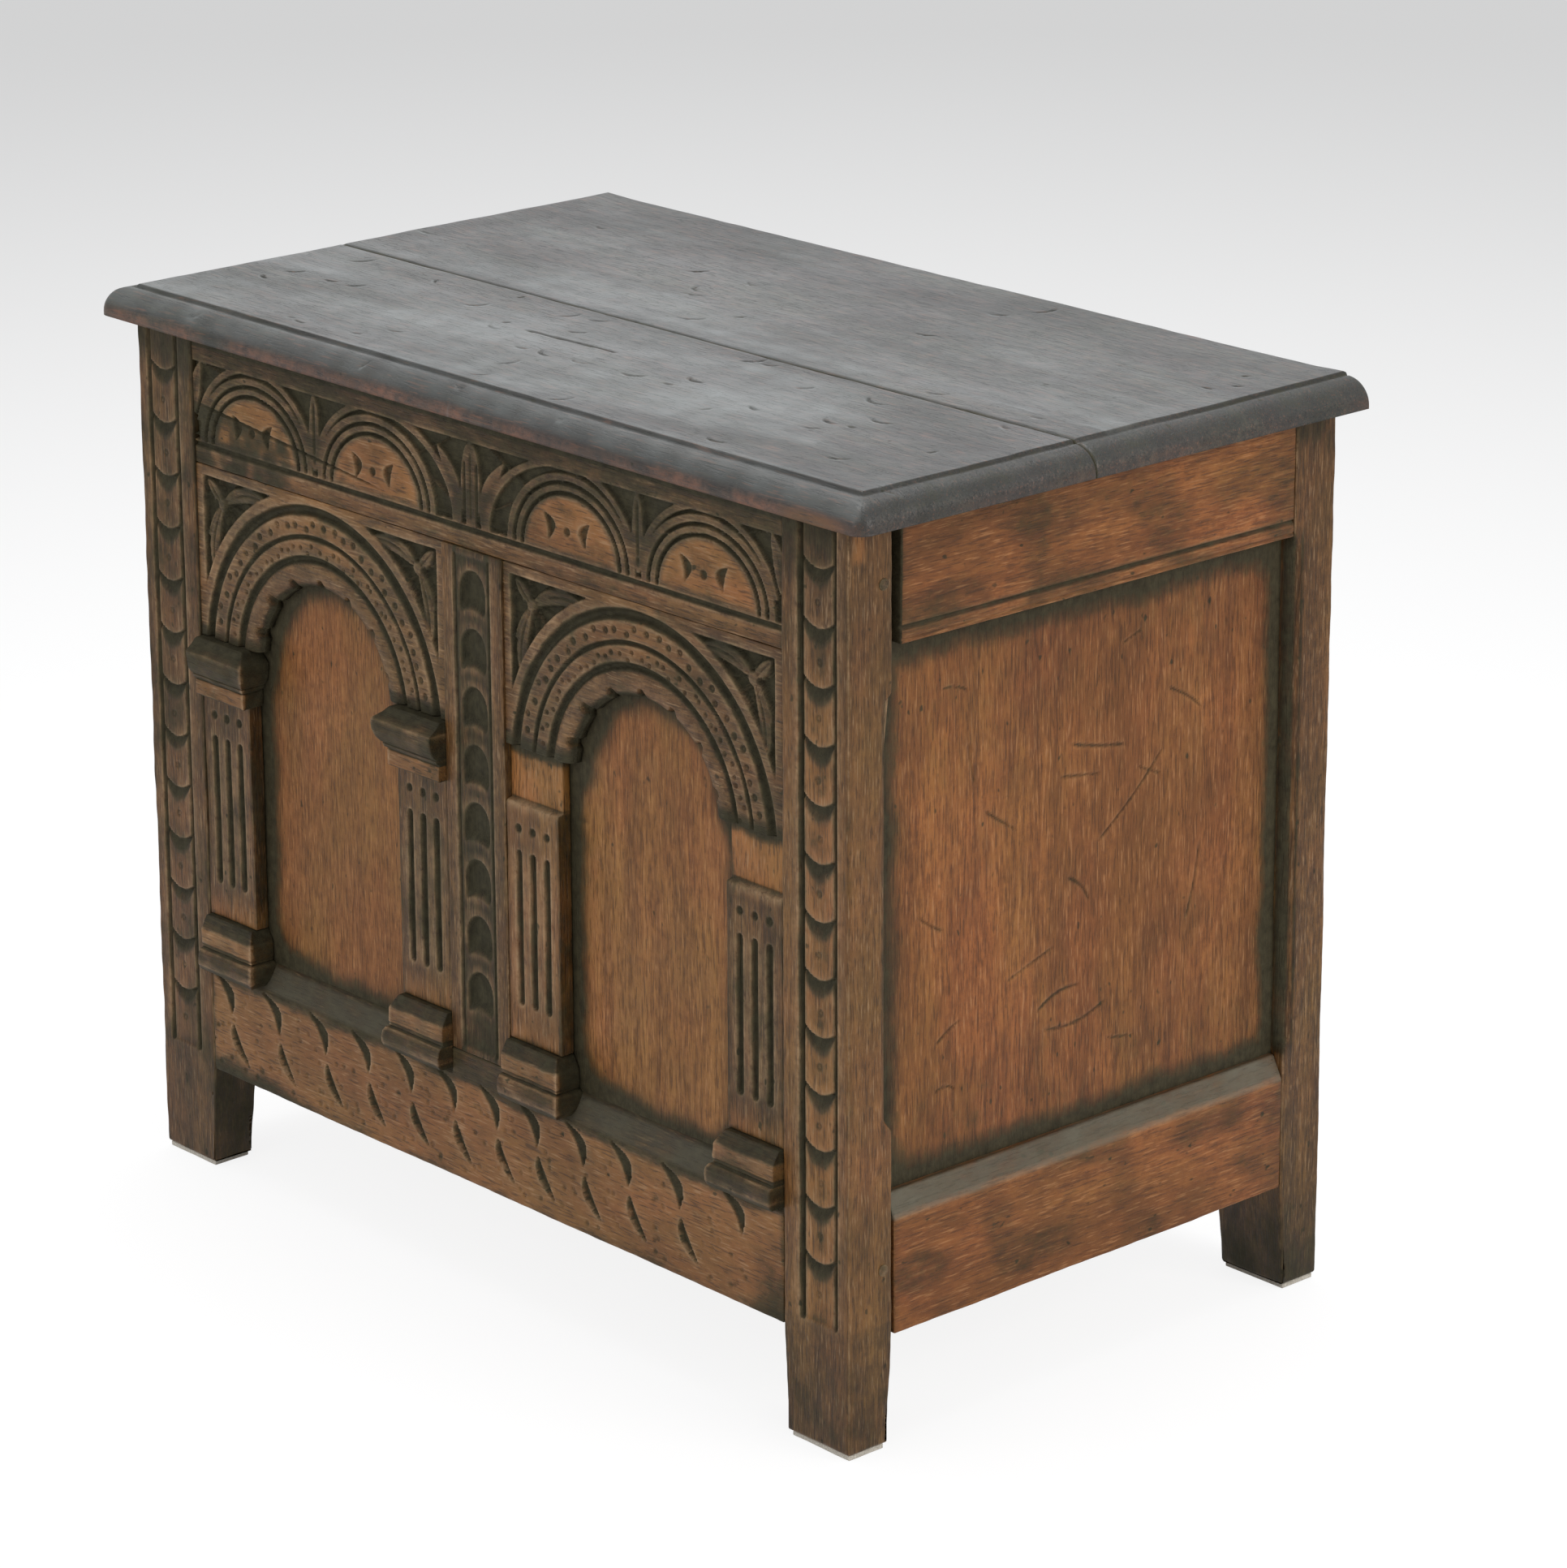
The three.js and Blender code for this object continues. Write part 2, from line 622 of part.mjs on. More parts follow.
for (const hand of ["left", "right"]) {
  const side = sides[hand];
  const gaps = sideShoulders[hand];
  const shared = { span: stileSpanY, thickness: sideRailThickness, tenonLength: sideTenonLength };
  const topRail = rail(side, { ...shared, z: sideTopZ, gaps: gaps.top });
  const bottomRail = rail(side, { ...shared, z: sideBottomZ, gaps: gaps.bottom });
  const board = { setBack: sidePanelSetBack, thickness: sidePanelThickness, edges: gaps.panel };
  const panel = panelIn(side, { ...board, u: stileSpanY, z: sidePanelZ });
  const outward = hand === "left" ? -1 : 1;
  const pegX = [outward * (halfWidth + pegProud), outward * (halfWidth + pegProud - pegLength)];
  const pegY = stileThickness - pegFromShoulder;
  for (const [place, z] of Object.entries({ top: middle(sideTopZ), bottom: middle(sideBottomZ) })) {
    pegsIn[hand].push(roundBar(pegRadius + fit, widened(pegX, fit), pegY, z, pegSides));
    piece(`${hand}_${place}_peg`, roundBar(pegRadius, pegX, pegY, z, pegSides), "peg");
  }
  piece(`${hand}_top_rail`, cutBy(topRail.body, [panel.groove, ...pegsIn[hand]]), "frame");
  const bevel = side.run(sideBevel, widened(stileSpanY, overrun));
  piece(`${hand}_bottom_rail`, cutBy(bottomRail.body, [panel.groove, bevel, ...pegsIn[hand]]), "frame");
  piece(`${hand}_panel`, panel.body, "panel");
  mortises[hand] = [topRail.mortise, bottomRail.mortise, panel.groove];
}

// Back framing
const backTopZ = [frameTop - backTopRailHeight, frameTop];
const backBottomZ = [railBottom, railBottom + backBottomRailHeight];
const backPanelZ = [high(backBottomZ), low(backTopZ)];
const backTop = rail(sides.back, { ...longRail, thickness: backRailThickness, z: backTopZ });
const backBottom = rail(sides.back, { ...longRail, thickness: backRailThickness, z: backBottomZ });
const backMuntin = muntin(sides.back, { thickness: backRailThickness, z: backPanelZ });
const backGrooves = [];
for (const [name, u] of Object.entries(panelSpans)) {
  const board = { setBack: backPanelSetBack, thickness: backPanelThickness };
  const panel = panelIn(sides.back, { ...board, u, z: backPanelZ });
  piece(`back_${name}_panel`, panel.body, "inside");
  backGrooves.push(panel.groove);
}
piece("back_bottom_rail", cutBy(backBottom.body, [...backGrooves, backMuntin.mortise]), "frame");
piece("back_muntin", cutBy(backMuntin.body, backGrooves), "frame");

// Scale carving down the front stiles: a channel between two grooves, with a row of thumbnail hollows
function scaleCuts(outward) {
  const outer = outward * (halfWidth - scaleChannelInset);
  const inner = outer - outward * scaleChannelWidth;
  const channelZ = [railBottom + channelAboveFoot, frameTop - channelBelowLid];
  const cuts = [
    box([outer, outer - outward * scaleGroove], frontFaceCut, channelZ),
    box([inner, inner + outward * scaleGroove], frontFaceCut, channelZ),
  ];
  const tongue = widened([inner, outer], scaleIntoGroove - scaleGroove);
  for (let z = frameTop - scaleBelowLid; z - scaleLowerSag > low(channelZ); z -= scalePitch) {
    cuts.push(crescent([low(tongue), z], [high(tongue), z], scaleUpperSag, scaleLowerSag, frontFaceCut));
  }
  return cuts;
}

// Stiles: each runs down to the floor as a foot, tapered a little on its two inner faces
const stileRows = { front: [0, stileThickness], rear: [carcassDepth - stileThickness, carcassDepth] };
for (const [end, y] of Object.entries(stileRows)) {
  for (const [hand, outward] of Object.entries({ left: -1, right: 1 })) {
    const outerX = outward * halfWidth;
    const innerX = outward * innerHalf;
    const outerY = end === "front" ? 0 : carcassDepth;
    const innerY = end === "front" ? stileThickness : carcassDepth - stileThickness;
    const inwardY = end === "front" ? 1 : -1;
    const cuts = [...mortises[hand]];
    const taperX = [
      [innerX, railBottom],
      [innerX + outward * footTaper, feetZ],
      [innerX - outward * overrun, feetZ],
      [innerX - outward * overrun, railBottom],
    ];
    cuts.push(run("y", taperX, widened(y, overrun)));
    const taperY = [
      [innerY, railBottom],
      [innerY - inwardY * footTaper, feetZ],
      [innerY + inwardY * overrun, feetZ],
      [innerY + inwardY * overrun, railBottom],
    ];
    cuts.push(run("x", taperY, widened([outerX, innerX], overrun)));
    const stops = edgeStops[end];
    const stopped = [high(sideBottomZ) + stops.aboveBottomRail, low(sideTopZ) - stops.belowTopRail];
    const arris = [
      [outerX - outward * edgeChamfer, innerY + inwardY * overrun],
      [outerX + outward * overrun, innerY + inwardY * overrun],
      [outerX + outward * overrun, innerY - inwardY * (edgeChamfer + overrun)],
    ];
    cuts.push(run("z", arris, stopped));
    if (end === "front") {
      cuts.push(frontTop.mortise, frontBottom.mortise, ...frontGrooves);
      cuts.push(...pegsIn[hand], ...scaleCuts(outward));
    } else {
      cuts.push(backTop.mortise, backBottom.mortise, ...backGrooves);
    }
    const post = box([outerX, innerX], [outerY, innerY], [feetZ, frameTop]);
    piece(`${end}_${hand}_stile`, cutBy(post, cuts), end === "front" ? "carved" : "frame");
    const pad = box(
      widened([outerX, innerX + outward * footTaper], -padInset),
      widened([outerY, innerY - inwardY * footTaper], -padInset),
      [0, padThickness],
    );
    piece(`${end}_${hand}_pad`, pad, "felt");
  }
}

// Floor: boards from front to back on a bearer fixed inside each long rail
const bearerTop = high(frontBottomZ) - bearerBelowRailTop;
const bearerZ = [bearerTop - bearerHeight, bearerTop];
const bearerX = widened(stileSpanX, -fit);
const frontInside = frontRailThickness + fit;
const backInside = carcassDepth - backRailThickness - fit;
piece("front_floor_bearer", box(bearerX, [frontInside, frontInside + bearerThickness], bearerZ), "inside");
piece("rear_floor_bearer", box(bearerX, [backInside - bearerThickness, backInside], bearerZ), "inside");
const floorHalf = halfWidth - sideRailThickness - fit;
const boardPitch = (2 * floorHalf + floorBoardGap) / floorBoards;
const floorZ = [bearerTop + fit, bearerTop + fit + floorThickness];
const cornerZ = widened(floorZ, overrun);
const stileCorners = [-1, 1].flatMap((outward) => {
  const cornerX = widened([outward * innerHalf, outward * halfWidth], fit);
  return Object.values(stileRows).map((y) => box(cornerX, widened(y, fit), cornerZ));
});
for (let i = 0; i < floorBoards; i++) {
  const left = -floorHalf + i * boardPitch;
  const board = box([left, left + boardPitch - floorBoardGap], [frontInside, backInside], floorZ);
  piece(`floor_board_${i + 1}`, cutBy(board, stileCorners), "inside");
}

// Lid: two boards with one moulding worked along the front and both ends, mitred at the corners
const lidTop = lidUnderside + lidThickness;
const ovoloRise = lidThickness - mouldingFillet - mouldingQuirk;
function edgeProfile() {
  const points = [[0, 0], [0, mouldingFillet]];
  const roundWidth = mouldingWidth - quirkWidth;
  for (let i = 1; i <= smallArcSteps + 1; i++) {
    const angle = (Math.PI / 2) * (i / (smallArcSteps + 1));
    points.push([roundWidth * (1 - Math.cos(angle)), mouldingFillet + ovoloRise * Math.sin(angle)]);
  }
  points.push([roundWidth + quirkWidth / 2, mouldingFillet + ovoloRise - mouldingQuirk / 2]);
  points.push([mouldingWidth, lidThickness]);
  return points.map(([inset, rise]) => [inset, lidUnderside + rise]);
}
const lidX = widened([-halfWidth, halfWidth], lidSideOverhang);
const lidY = [-lidFrontOverhang, carcassDepth + lidBackOverhang];
const profile = edgeProfile();
const alongFront = run(
  "x",
  [
    ...profile.map(([inset, z]) => [low(lidY) + inset, z]),
    [high(lidY), lidTop],
    [high(lidY), lidUnderside],
  ],
  lidX,
);
const acrossEnds = run(
  "y",
  [
    ...profile.map(([inset, z]) => [low(lidX) + inset, z]),
    ...profile.map(([inset, z]) => [high(lidX) - inset, z]).reverse(),
  ],
  widened(lidY, overrun),
);
const corner = { x: high(lidX) - lidCornerRadius, y: low(lidY) + lidCornerRadius };
const plan = new THREE.Shape();
plan.moveTo(low(lidX), high(lidY) + overrun);
plan.lineTo(low(lidX), corner.y);
plan.absarc(-corner.x, corner.y, lidCornerRadius, Math.PI, 1.5 * Math.PI);
plan.absarc(corner.x, corner.y, lidCornerRadius, -Math.PI / 2, 0);
plan.lineTo(high(lidX), high(lidY) + overrun);
const planPoints = plan.getPoints(smallArcSteps).map((point) => [point.x, point.y]);
const lidZ = widened([lidUnderside, lidTop], overrun);
const lidBlank = alongFront.intersect(acrossEnds).intersect(run("z", planPoints, lidZ));

// Hinges: two brass butts let in between the rear rail and the lid, with their barrels behind
const leafY = [pinY - hingeLeafWidth, pinY];
const lidLeafZ = [lidUnderside, lidUnderside + hingeLeafThickness];
const frameLeafZ = [frameTop - hingeLeafThickness, frameTop];
const lidRecesses = [];
const frameRecesses = [];

function countersunk(x, y, faceZ, up) {
  const shank = new THREE.CylinderGeometry(screwHoleRadius, screwHoleRadius, 2 * overrun, screwHoleSides);
  shank.rotateX(Math.PI / 2);
  shank.translate(x, y, faceZ);
  const wide = screwHeadRadius + overrun * ((screwHeadRadius - screwHoleRadius) / screwSinkDepth);
  const radii = up > 0 ? [wide, screwHoleRadius] : [screwHoleRadius, wide];
  const cone = new THREE.CylinderGeometry(...radii, overrun + screwSinkDepth, screwHoleSides);
  cone.rotateX(Math.PI / 2);
  cone.translate(x, y, faceZ + (up * (overrun - screwSinkDepth)) / 2);
  return solid(shank).add(solid(cone));
}

function hinge(hand, x) {
  const ends = [x - hingeLength / 2, x + hingeLength / 2];
  const third = hingeLength / 3;
  const lidKnuckle = [x - third / 2 + fit, x + third / 2 - fit];
  const frameKnuckles = [[low(ends), x - third / 2 - fit], [x + third / 2 + fit, high(ends)]];
  const barrel = (range) => roundBar(hingeBarrelRadius, range, pinY, pinZ, hingeSides);
  const clear = (range) => roundBar(hingeBarrelRadius + fit, range, pinY, pinZ, hingeSides);
  const bore = roundBar(hingeBoreRadius, widened(ends, overrun), pinY, pinZ, hingeSides);
  const screwsX = [-1, 0, 1].map((share) => x + share * (hingeLength / 2 - screwFromEdge));
  const screwY = pinY - screwFromBarrel;
  const frameSweeps = frameKnuckles.map((range) => clear(widened(range, fit)));
  const lidPlate = cutBy(box(ends, leafY, lidLeafZ), frameSweeps);
  const framePlate = cutBy(box(ends, leafY, frameLeafZ), [clear(widened(lidKnuckle, fit))]);
  const lidHoles = screwsX.map((at) => countersunk(at, screwY, low(lidLeafZ), -1));
  const frameHoles = screwsX.map((at) => countersunk(at, screwY, high(frameLeafZ), 1));
  piece(`${hand}_hinge_lid_leaf`, cutBy(lidPlate.add(barrel(lidKnuckle)), [bore, ...lidHoles]), "brass");
  const frameLeaf = joined([framePlate, ...frameKnuckles.map(barrel)]);
  piece(`${hand}_hinge_frame_leaf`, cutBy(frameLeaf, [bore, ...frameHoles]), "brass");
  const half = hingeLength / 2 + fit;
  const outline = [
    [0, -half - hingePinHeadLength],
    [hingePinHeadRadius / 2, -half - hingePinHeadLength],
    [hingePinHeadRadius, -half - hingePinHeadLength / 2],
    [hingePinHeadRadius, -half],
    [hingePinRadius, -half],
    [hingePinRadius, half],
    [hingePinHeadRadius, half],
    [hingePinHeadRadius, half + hingePinHeadLength / 2],
    [hingePinHeadRadius / 2, half + hingePinHeadLength],
    [0, half + hingePinHeadLength],
  ];
  const pin = new THREE.LatheGeometry(outline.map(([r, along]) => new THREE.Vector2(r, along)), hingeSides);
  pin.rotateZ(-Math.PI / 2);
  pin.translate(x, pinY, pinZ);
  piece(`${hand}_hinge_pin`, solid(pin), "brass");
  const recessX = widened(ends, fit);
  const recessY = widened(leafY, fit);
  lidRecesses.push(box(recessX, recessY, [lidUnderside - overrun, high(lidLeafZ) + fit]));
  frameRecesses.push(box(recessX, recessY, [low(frameLeafZ) - fit, frameTop + overrun]));
}
hinge("left", hingeFromStile - innerHalf);
hinge("right", innerHalf - hingeFromStile);

const boardJoint = low(lidY) + lidFrontBoardDepth;
const frontPart = box(widened(lidX, overrun), [low(lidY) - overrun, boardJoint - lidBoardGap / 2], lidZ);
const rearPart = box(widened(lidX, overrun), [boardJoint + lidBoardGap / 2, high(lidY) + overrun], lidZ);
piece("lid_front_board", lidBlank.intersect(frontPart), "lid");
piece("lid_rear_board", cutBy(lidBlank.intersect(rearPart), lidRecesses), "lid");
const backTopCuts = [...backGrooves, backMuntin.mortise, ...frameRecesses];
piece("back_top_rail", cutBy(backTop.body, backTopCuts), "frame");

// Battens across the lid's underside hold its two boards together
const battenY = [frontRailThickness + battenFromFrame, carcassDepth - backRailThickness - battenFromFrame];
const battenZ = [lidUnderside - fit - battenThickness, lidUnderside - fit];
for (const [hand, outward] of Object.entries({ left: -1, right: 1 })) {
  const outer = outward * (innerHalf - battenFromStile);
  piece(`lid_${hand}_batten`, box([outer, outer - outward * battenWidth], battenY, battenZ), "inside");
}

export default coffer;
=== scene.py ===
# %% [markdown]
# # A carved oak coffer
# The chest is a joined one: rails and panels between four stiles, a carved arcade on its front and a
# boarded lid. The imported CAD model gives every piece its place. Here each piece gets its worn arrises,
# its carving and its finish. Lengths are in millimetres until a mesh is made, as a joiner would mark them.

# %% Load the frame
import json
import math

import bmesh
import bpy
import numpy as np
from mathutils import Matrix, Vector


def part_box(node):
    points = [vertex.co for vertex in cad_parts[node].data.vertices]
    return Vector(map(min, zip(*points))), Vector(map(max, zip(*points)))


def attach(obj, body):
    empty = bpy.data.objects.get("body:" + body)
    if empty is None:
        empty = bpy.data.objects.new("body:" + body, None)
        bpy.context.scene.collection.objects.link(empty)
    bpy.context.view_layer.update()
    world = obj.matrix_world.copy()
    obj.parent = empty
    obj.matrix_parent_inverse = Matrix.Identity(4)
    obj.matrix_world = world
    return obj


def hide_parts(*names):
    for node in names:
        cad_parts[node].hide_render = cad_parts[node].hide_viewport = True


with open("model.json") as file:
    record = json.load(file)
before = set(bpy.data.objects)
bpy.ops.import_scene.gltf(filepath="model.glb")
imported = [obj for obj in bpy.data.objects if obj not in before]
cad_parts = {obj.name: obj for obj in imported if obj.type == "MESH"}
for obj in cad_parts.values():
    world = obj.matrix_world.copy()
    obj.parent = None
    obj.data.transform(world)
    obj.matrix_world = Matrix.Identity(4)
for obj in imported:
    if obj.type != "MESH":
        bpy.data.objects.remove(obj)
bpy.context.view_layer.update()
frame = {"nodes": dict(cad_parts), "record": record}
MM = 0.001


# %% [markdown]
# ## Where the pieces are
# A piece that takes the place of a CAD node has to fill the same space, so its size is read from the
# node. The framing's openings follow from the stiles and rails that stand round them.


# %% Read the chest's lines from its nodes
def limits(node):
    low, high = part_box(node)
    return np.array(low) / MM, np.array(high) / MM


stile_low, stile_high = limits("front_right_stile")
rear_low = limits("rear_right_stile")[0]
front_y, frame_top, feet_z = stile_low[1], stile_high[2], stile_low[2]
inner_x, outer_x = stile_low[0], stile_high[0]
inner_front, inner_back = stile_high[1], rear_low[1]
rail_bottom = limits("front_bottom_rail")[0][2]
panel_z = (limits("front_bottom_rail")[1][2], limits("front_top_rail")[0][2])
muntin_half = limits("front_muntin")[1][0]
bay_centre = (inner_x + muntin_half) / 2
bay_half = (inner_x - muntin_half) / 2
print("bays", round(2 * bay_half, 1), "wide, panels from", [round(z, 1) for z in panel_z])


# %% [markdown]
# ## Worn boards
# Old boards are never sharp: their arrises are rubbed round, more in one place than in another. A bevel
# would round every edge alike, so each board is instead a box whose sides are cut into a grid, fine at
# the edges, and whose corners are drawn in by a radius that wanders along the edge. The same grid
# carries the carving, and a few numbers at each point: how much old wax and painted shade lie there,
# how rubbed it is, where polish has kept the wood golden, and which board it belongs to, so that no two
# share their grain.


# %% Helpers for shapes
def ease(share):
    share = np.clip(share, 0, 1)
    return share * share * (3 - 2 * share)


def ripple(points, wavelength, seed):
    rng = np.random.default_rng(seed)
    total = 0
    for _ in range(6):
        way = rng.normal(size=points.shape[-1])
        way *= 2 * math.pi / (wavelength * rng.uniform(0.6, 1.7) * np.linalg.norm(way))
        total = total + np.sin(points @ way + rng.uniform(0, 2 * math.pi))
    return total / 3


def stations(low, high, step, arris):
    near = arris * np.array([0, 0.12, 0.35, 0.65])
    inside = np.linspace(low + arris, high - arris, max(1, round((high - low - 2 * arris) / step)) + 1)
    return np.concatenate([low + near, inside, high - near[::-1]])


def grid_box(xs, ys, zs, plain=()):
    sizes = (len(xs), len(ys), len(zs))
    sides = [(axis, end) for axis in range(3) for end in (0, -1)]
    shown = np.zeros(sizes, bool)
    for axis, end in sides:
        if (axis, end) not in plain:
            np.moveaxis(shown, axis, 0)[end] = True
    number = np.full(sizes, -1)
    number[shown] = np.arange(shown.sum())
    points = np.stack(np.meshgrid(xs, ys, zs, indexing="ij"), -1)[shown]
    faces = []
    for axis, end in sides:
        sheet = np.take(number, end, axis)
        if (end == 0) != (axis == 1):
            sheet = sheet.T
        if (axis, end) in plain:
            rim = [sheet[:-1, 0], sheet[-1, :-1], sheet[:0:-1, -1], sheet[0, :0:-1]]
            faces.append(np.concatenate(rim).tolist())
        else:
            corners = [sheet[:-1, :-1], sheet[1:, :-1], sheet[1:, 1:], sheet[:-1, 1:]]
            faces.extend(np.stack(corners, -1).reshape(-1, 4).tolist())
    return points, faces


def rubbed(points, low, high, arris, seed):
    radius = arris * (1 + 0.35 * ripple(points, 60, seed) + 0.2 * ripple(points, 17, seed + 1))
    radius = np.clip(radius, 0.25 * arris, 0.98 * arris / 0.65)[:, None]
    radius = np.minimum(radius, 0.45 * (high - low).min())
    core = np.clip(points, low + radius, high - radius)
    away = points - core
    length = np.linalg.norm(away, axis=1, keepdims=True)
    moved = core + away / length * radius
    return moved, np.linalg.norm(moved - points, axis=1) / (0.5 * arris)


print("a 10 mm cube has", len(grid_box(*[stations(0, 10, 2, 1)] * 3)[1]), "faces")


# %% [markdown]
# ## Carving as depth
# A carver works from the face down: the ground is sunk, and what is left standing is the pattern. So
# each carved face is one function that says how deep the wood is cut at a point. Sculpting by hand
# could not be repeated, and a bump map would stay flat at the edge of the picture. The depth is also
# compared with its surroundings: what lies lower has gathered wax and dust, and what stands proud has
# been polished by hands.


# %% Carving helpers
def blurred(field, reach):
    width = 2 * reach + 1
    for axis in (0, 1, 0, 1):
        margins = [(reach + 1, reach) if side == axis else (0, 0) for side in (0, 1)]
        total = np.cumsum(np.pad(field, margins, mode="edge"), axis)
        count = field.shape[axis]
        ends = np.take(total, np.arange(width, width + count), axis)
        field = (ends - np.take(total, np.arange(count), axis)) / width
    return field


class Carving:
    """The cut depth over a face, with the dirt and wear that follow from it. Its correction function mends
    the dirt where the depth alone would give it wrongly and on some faces adds painted shade, and age is
    what lies on the whole face."""

    cell = 0.5

    def __init__(self, cut, u, v, dark_correction=None, age=0.0):
        self.cut = cut
        self.start = np.array([u[0], v[0]]) - self.cell
        us = np.arange(self.start[0], u[1] + 2 * self.cell, self.cell)
        vs = np.arange(self.start[1], v[1] + 2 * self.cell, self.cell)
        sheet = np.meshgrid(us, vs, indexing="ij")
        depth = cut(*sheet)
        wide = blurred(depth, round(4 / self.cell))
        close = blurred(depth, round(1.2 / self.cell))
        self.dirt_and_shade = np.clip(0.75 * (depth - wide) + 0.2 * depth + age, 0, 1)
        if dark_correction:
            self.dirt_and_shade = dark_correction(*sheet, self.dirt_and_shade)
        self.dirt_and_shade = blurred(self.dirt_and_shade, 1)
        self.wear = np.clip(0.4 * (wide - depth) + 1.1 * (close - depth), 0, 1)

    def read(self, field, u, v):
        place = np.stack([u, v], -1) / self.cell - self.start / self.cell
        place = np.clip(place, 0, np.array(field.shape) - 1.001)
        i, j = place.astype(int).T
        p, q = (place - np.floor(place)).T
        low = field[i, j] * (1 - q) + field[i, j + 1] * q
        high = field[i + 1, j] * (1 - q) + field[i + 1, j + 1] * q
        return low * (1 - p) + high * p


def standing(inside, slope=1.6):
    """1 where the ground is cut away, 0 where a raised form is left; inside is the way in from its edge."""
    return ease(-inside / slope)


def groove(distance, width, depth):
    return depth * ease(1.15 - 2.3 * np.abs(distance) / width)


def stroke(x, z, start, end):
    """How far along a straight stroke a point is, from 0 to 1, and how far it lies to the side."""
    way = np.subtract(end, start)
    length = np.hypot(*way)
    along = ((x - start[0]) * way[0] + (z - start[1]) * way[1]) / length**2
    side = ((x - start[0]) * way[1] - (z - start[1]) * way[0]) / length
    return along, side, length


def petal(x, z, start, end, width, bow=0.0, full=0.7):
    """The way in from a petal's edge: a leaf from start to end, bowed to the right of that way."""
    along, side, length = stroke(x, z, start, end)
    share = np.clip(along, 0, 1)
    middle = bow * np.sin(math.pi * share)
    half = width / 2 * np.sin(math.pi * share) ** full
    beyond = np.maximum(-along, along - 1) * length
    return np.where(beyond > 0, -beyond, half - np.abs(side - middle)), side - middle, share


def scratch(x, z, start, end, width, depth, bow=0.0):
    along, side, length = stroke(x, z, start, end)
    side = side - bow * np.sin(math.pi * np.clip(along, 0, 1))
    fade = ease(8 * along) * ease(8 * (1 - along))
    return groove(side, width, depth) * fade


def punched(x, z, centres, radius, depth=0.9):
    """Ring punches: a round dent whose middle is left standing."""
    cut = np.zeros_like(x)
    for centre_x, centre_z in centres:
        away = np.hypot(x - centre_x, z - centre_z)
        near = away < 2 * radius
        cut[near] = np.maximum(cut[near], groove(away[near] - 0.62 * radius, 1.1 * radius, depth))
    return cut


half_leaf = float(petal(0, 5, (0, 0), (0, 10), 4)[0])
print("the middle of a leaf 4 mm wide lies", round(half_leaf, 2), "mm in from its edges")


# %% [markdown]
# ## From points to pieces
# Every piece of wood goes through one function. It takes the board's box, sinks its carved faces,
# stores the numbers and puts the piece on its body in place of its CAD node. Behind a carved
# face the grid need not be fine, so the hidden side is one plain face.


# %% Piece maker
bodies = {node: name for name, nodes in frame["record"]["behaviour"]["bodies"].items() for node in nodes}
# How far one board's grain lies from the next one's, in the noise's fourth direction
GRAIN_PER_BOARD = 3.7
board_count = 0
pieces = {}


def dress(node, mesh):
    """The mesh becomes a piece on its node's body, shown in place of the node."""
    made = bpy.data.objects.new(node + "_look", mesh)
    bpy.context.scene.collection.objects.link(made)
    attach(made, bodies[node])
    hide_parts(node)
    pieces[node] = made
    return made


def make_piece(node, points, faces, marks, material):
    mesh = bpy.data.meshes.new(node + "_look")
    mesh.from_pydata((points * MM).tolist(), [], faces)
    for key, values in marks.items():
        values = np.broadcast_to(values, len(points)).astype(np.float32)
        mesh.attributes.new(key, "FLOAT", "POINT").data.foreach_set("value", values)
    mesh.materials.append(material)
    for face in mesh.polygons:
        face.use_smooth = len(face.vertices) < 5
    return dress(node, mesh)


def next_board():
    global board_count
    board_count += 1
    return board_count


def board(node, low, high, material, step=8.0, arris=1.3, carving=None, face=(1, 0), darkness=None,
          polish=None, dust_and_sheen=None, wander=0.25, shape=None):
    """A worn board. carving sinks the face named by its axis and end. The darkening says where it is dark,
    with dirt and on some boards painted shade; polish says where it is golden; and the pale mark says
    where dust lies, with a painted highlight on the side's chamfer."""
    low, high = np.array(low, float), np.array(high, float)
    steps = np.broadcast_to(step, 3)
    spans = [stations(low[a], high[a], steps[a], arris) for a in range(3)]
    axis, end = face
    plain = ((axis, -1 if end == 0 else 0),) if carving else ()
    grid, faces = grid_box(*spans, plain)
    seed = next_board()
    points, worn = rubbed(grid, low, high, arris, seed)
    dirt_and_shade = np.zeros(len(points))
    wear = np.clip(worn, 0, 1) * (0.75 + 0.5 * ripple(grid, 45, seed + 2))
    u, v = [a for a in range(3) if a != axis]
    way = 1 if end == 0 else -1
    surface = low[axis] if end == 0 else high[axis]
    thickness = high[axis] - low[axis]
    inward = way * (points[:, axis] - surface)
    sink = wander * (0.5 + 0.5 * ripple(points, 90, seed + 3))
    if carving:
        sink = sink + carving.cut(points[:, u], points[:, v])
        facing = ease(1.3 - inward / 4)
        dirt_and_shade = facing * carving.read(carving.dirt_and_shade, points[:, u], points[:, v])
        ridge = carving.read(carving.wear, points[:, u], points[:, v])
        hollow = ease(1 - carving.cut(points[:, u], points[:, v]) / 1.5)
        wear = np.maximum(wear * hollow, facing * ridge)
    points[:, axis] = surface + way * (sink + inward * (1 - sink / thickness))
    if darkness:
        dirt_and_shade = np.maximum(dirt_and_shade, darkness(*points.T))
    marks = {"dirt_and_shade": np.clip(dirt_and_shade, 0, 1), "wear": np.clip(wear, 0, 1), "board": GRAIN_PER_BOARD * seed}
    if polish:
        marks["polish"] = polish(*points.T)
    if dust_and_sheen:
        marks["dust_and_sheen"] = dust_and_sheen(*points.T)
    if shape:
        points = shape(points)
    return make_piece(node, points, faces, marks, material)
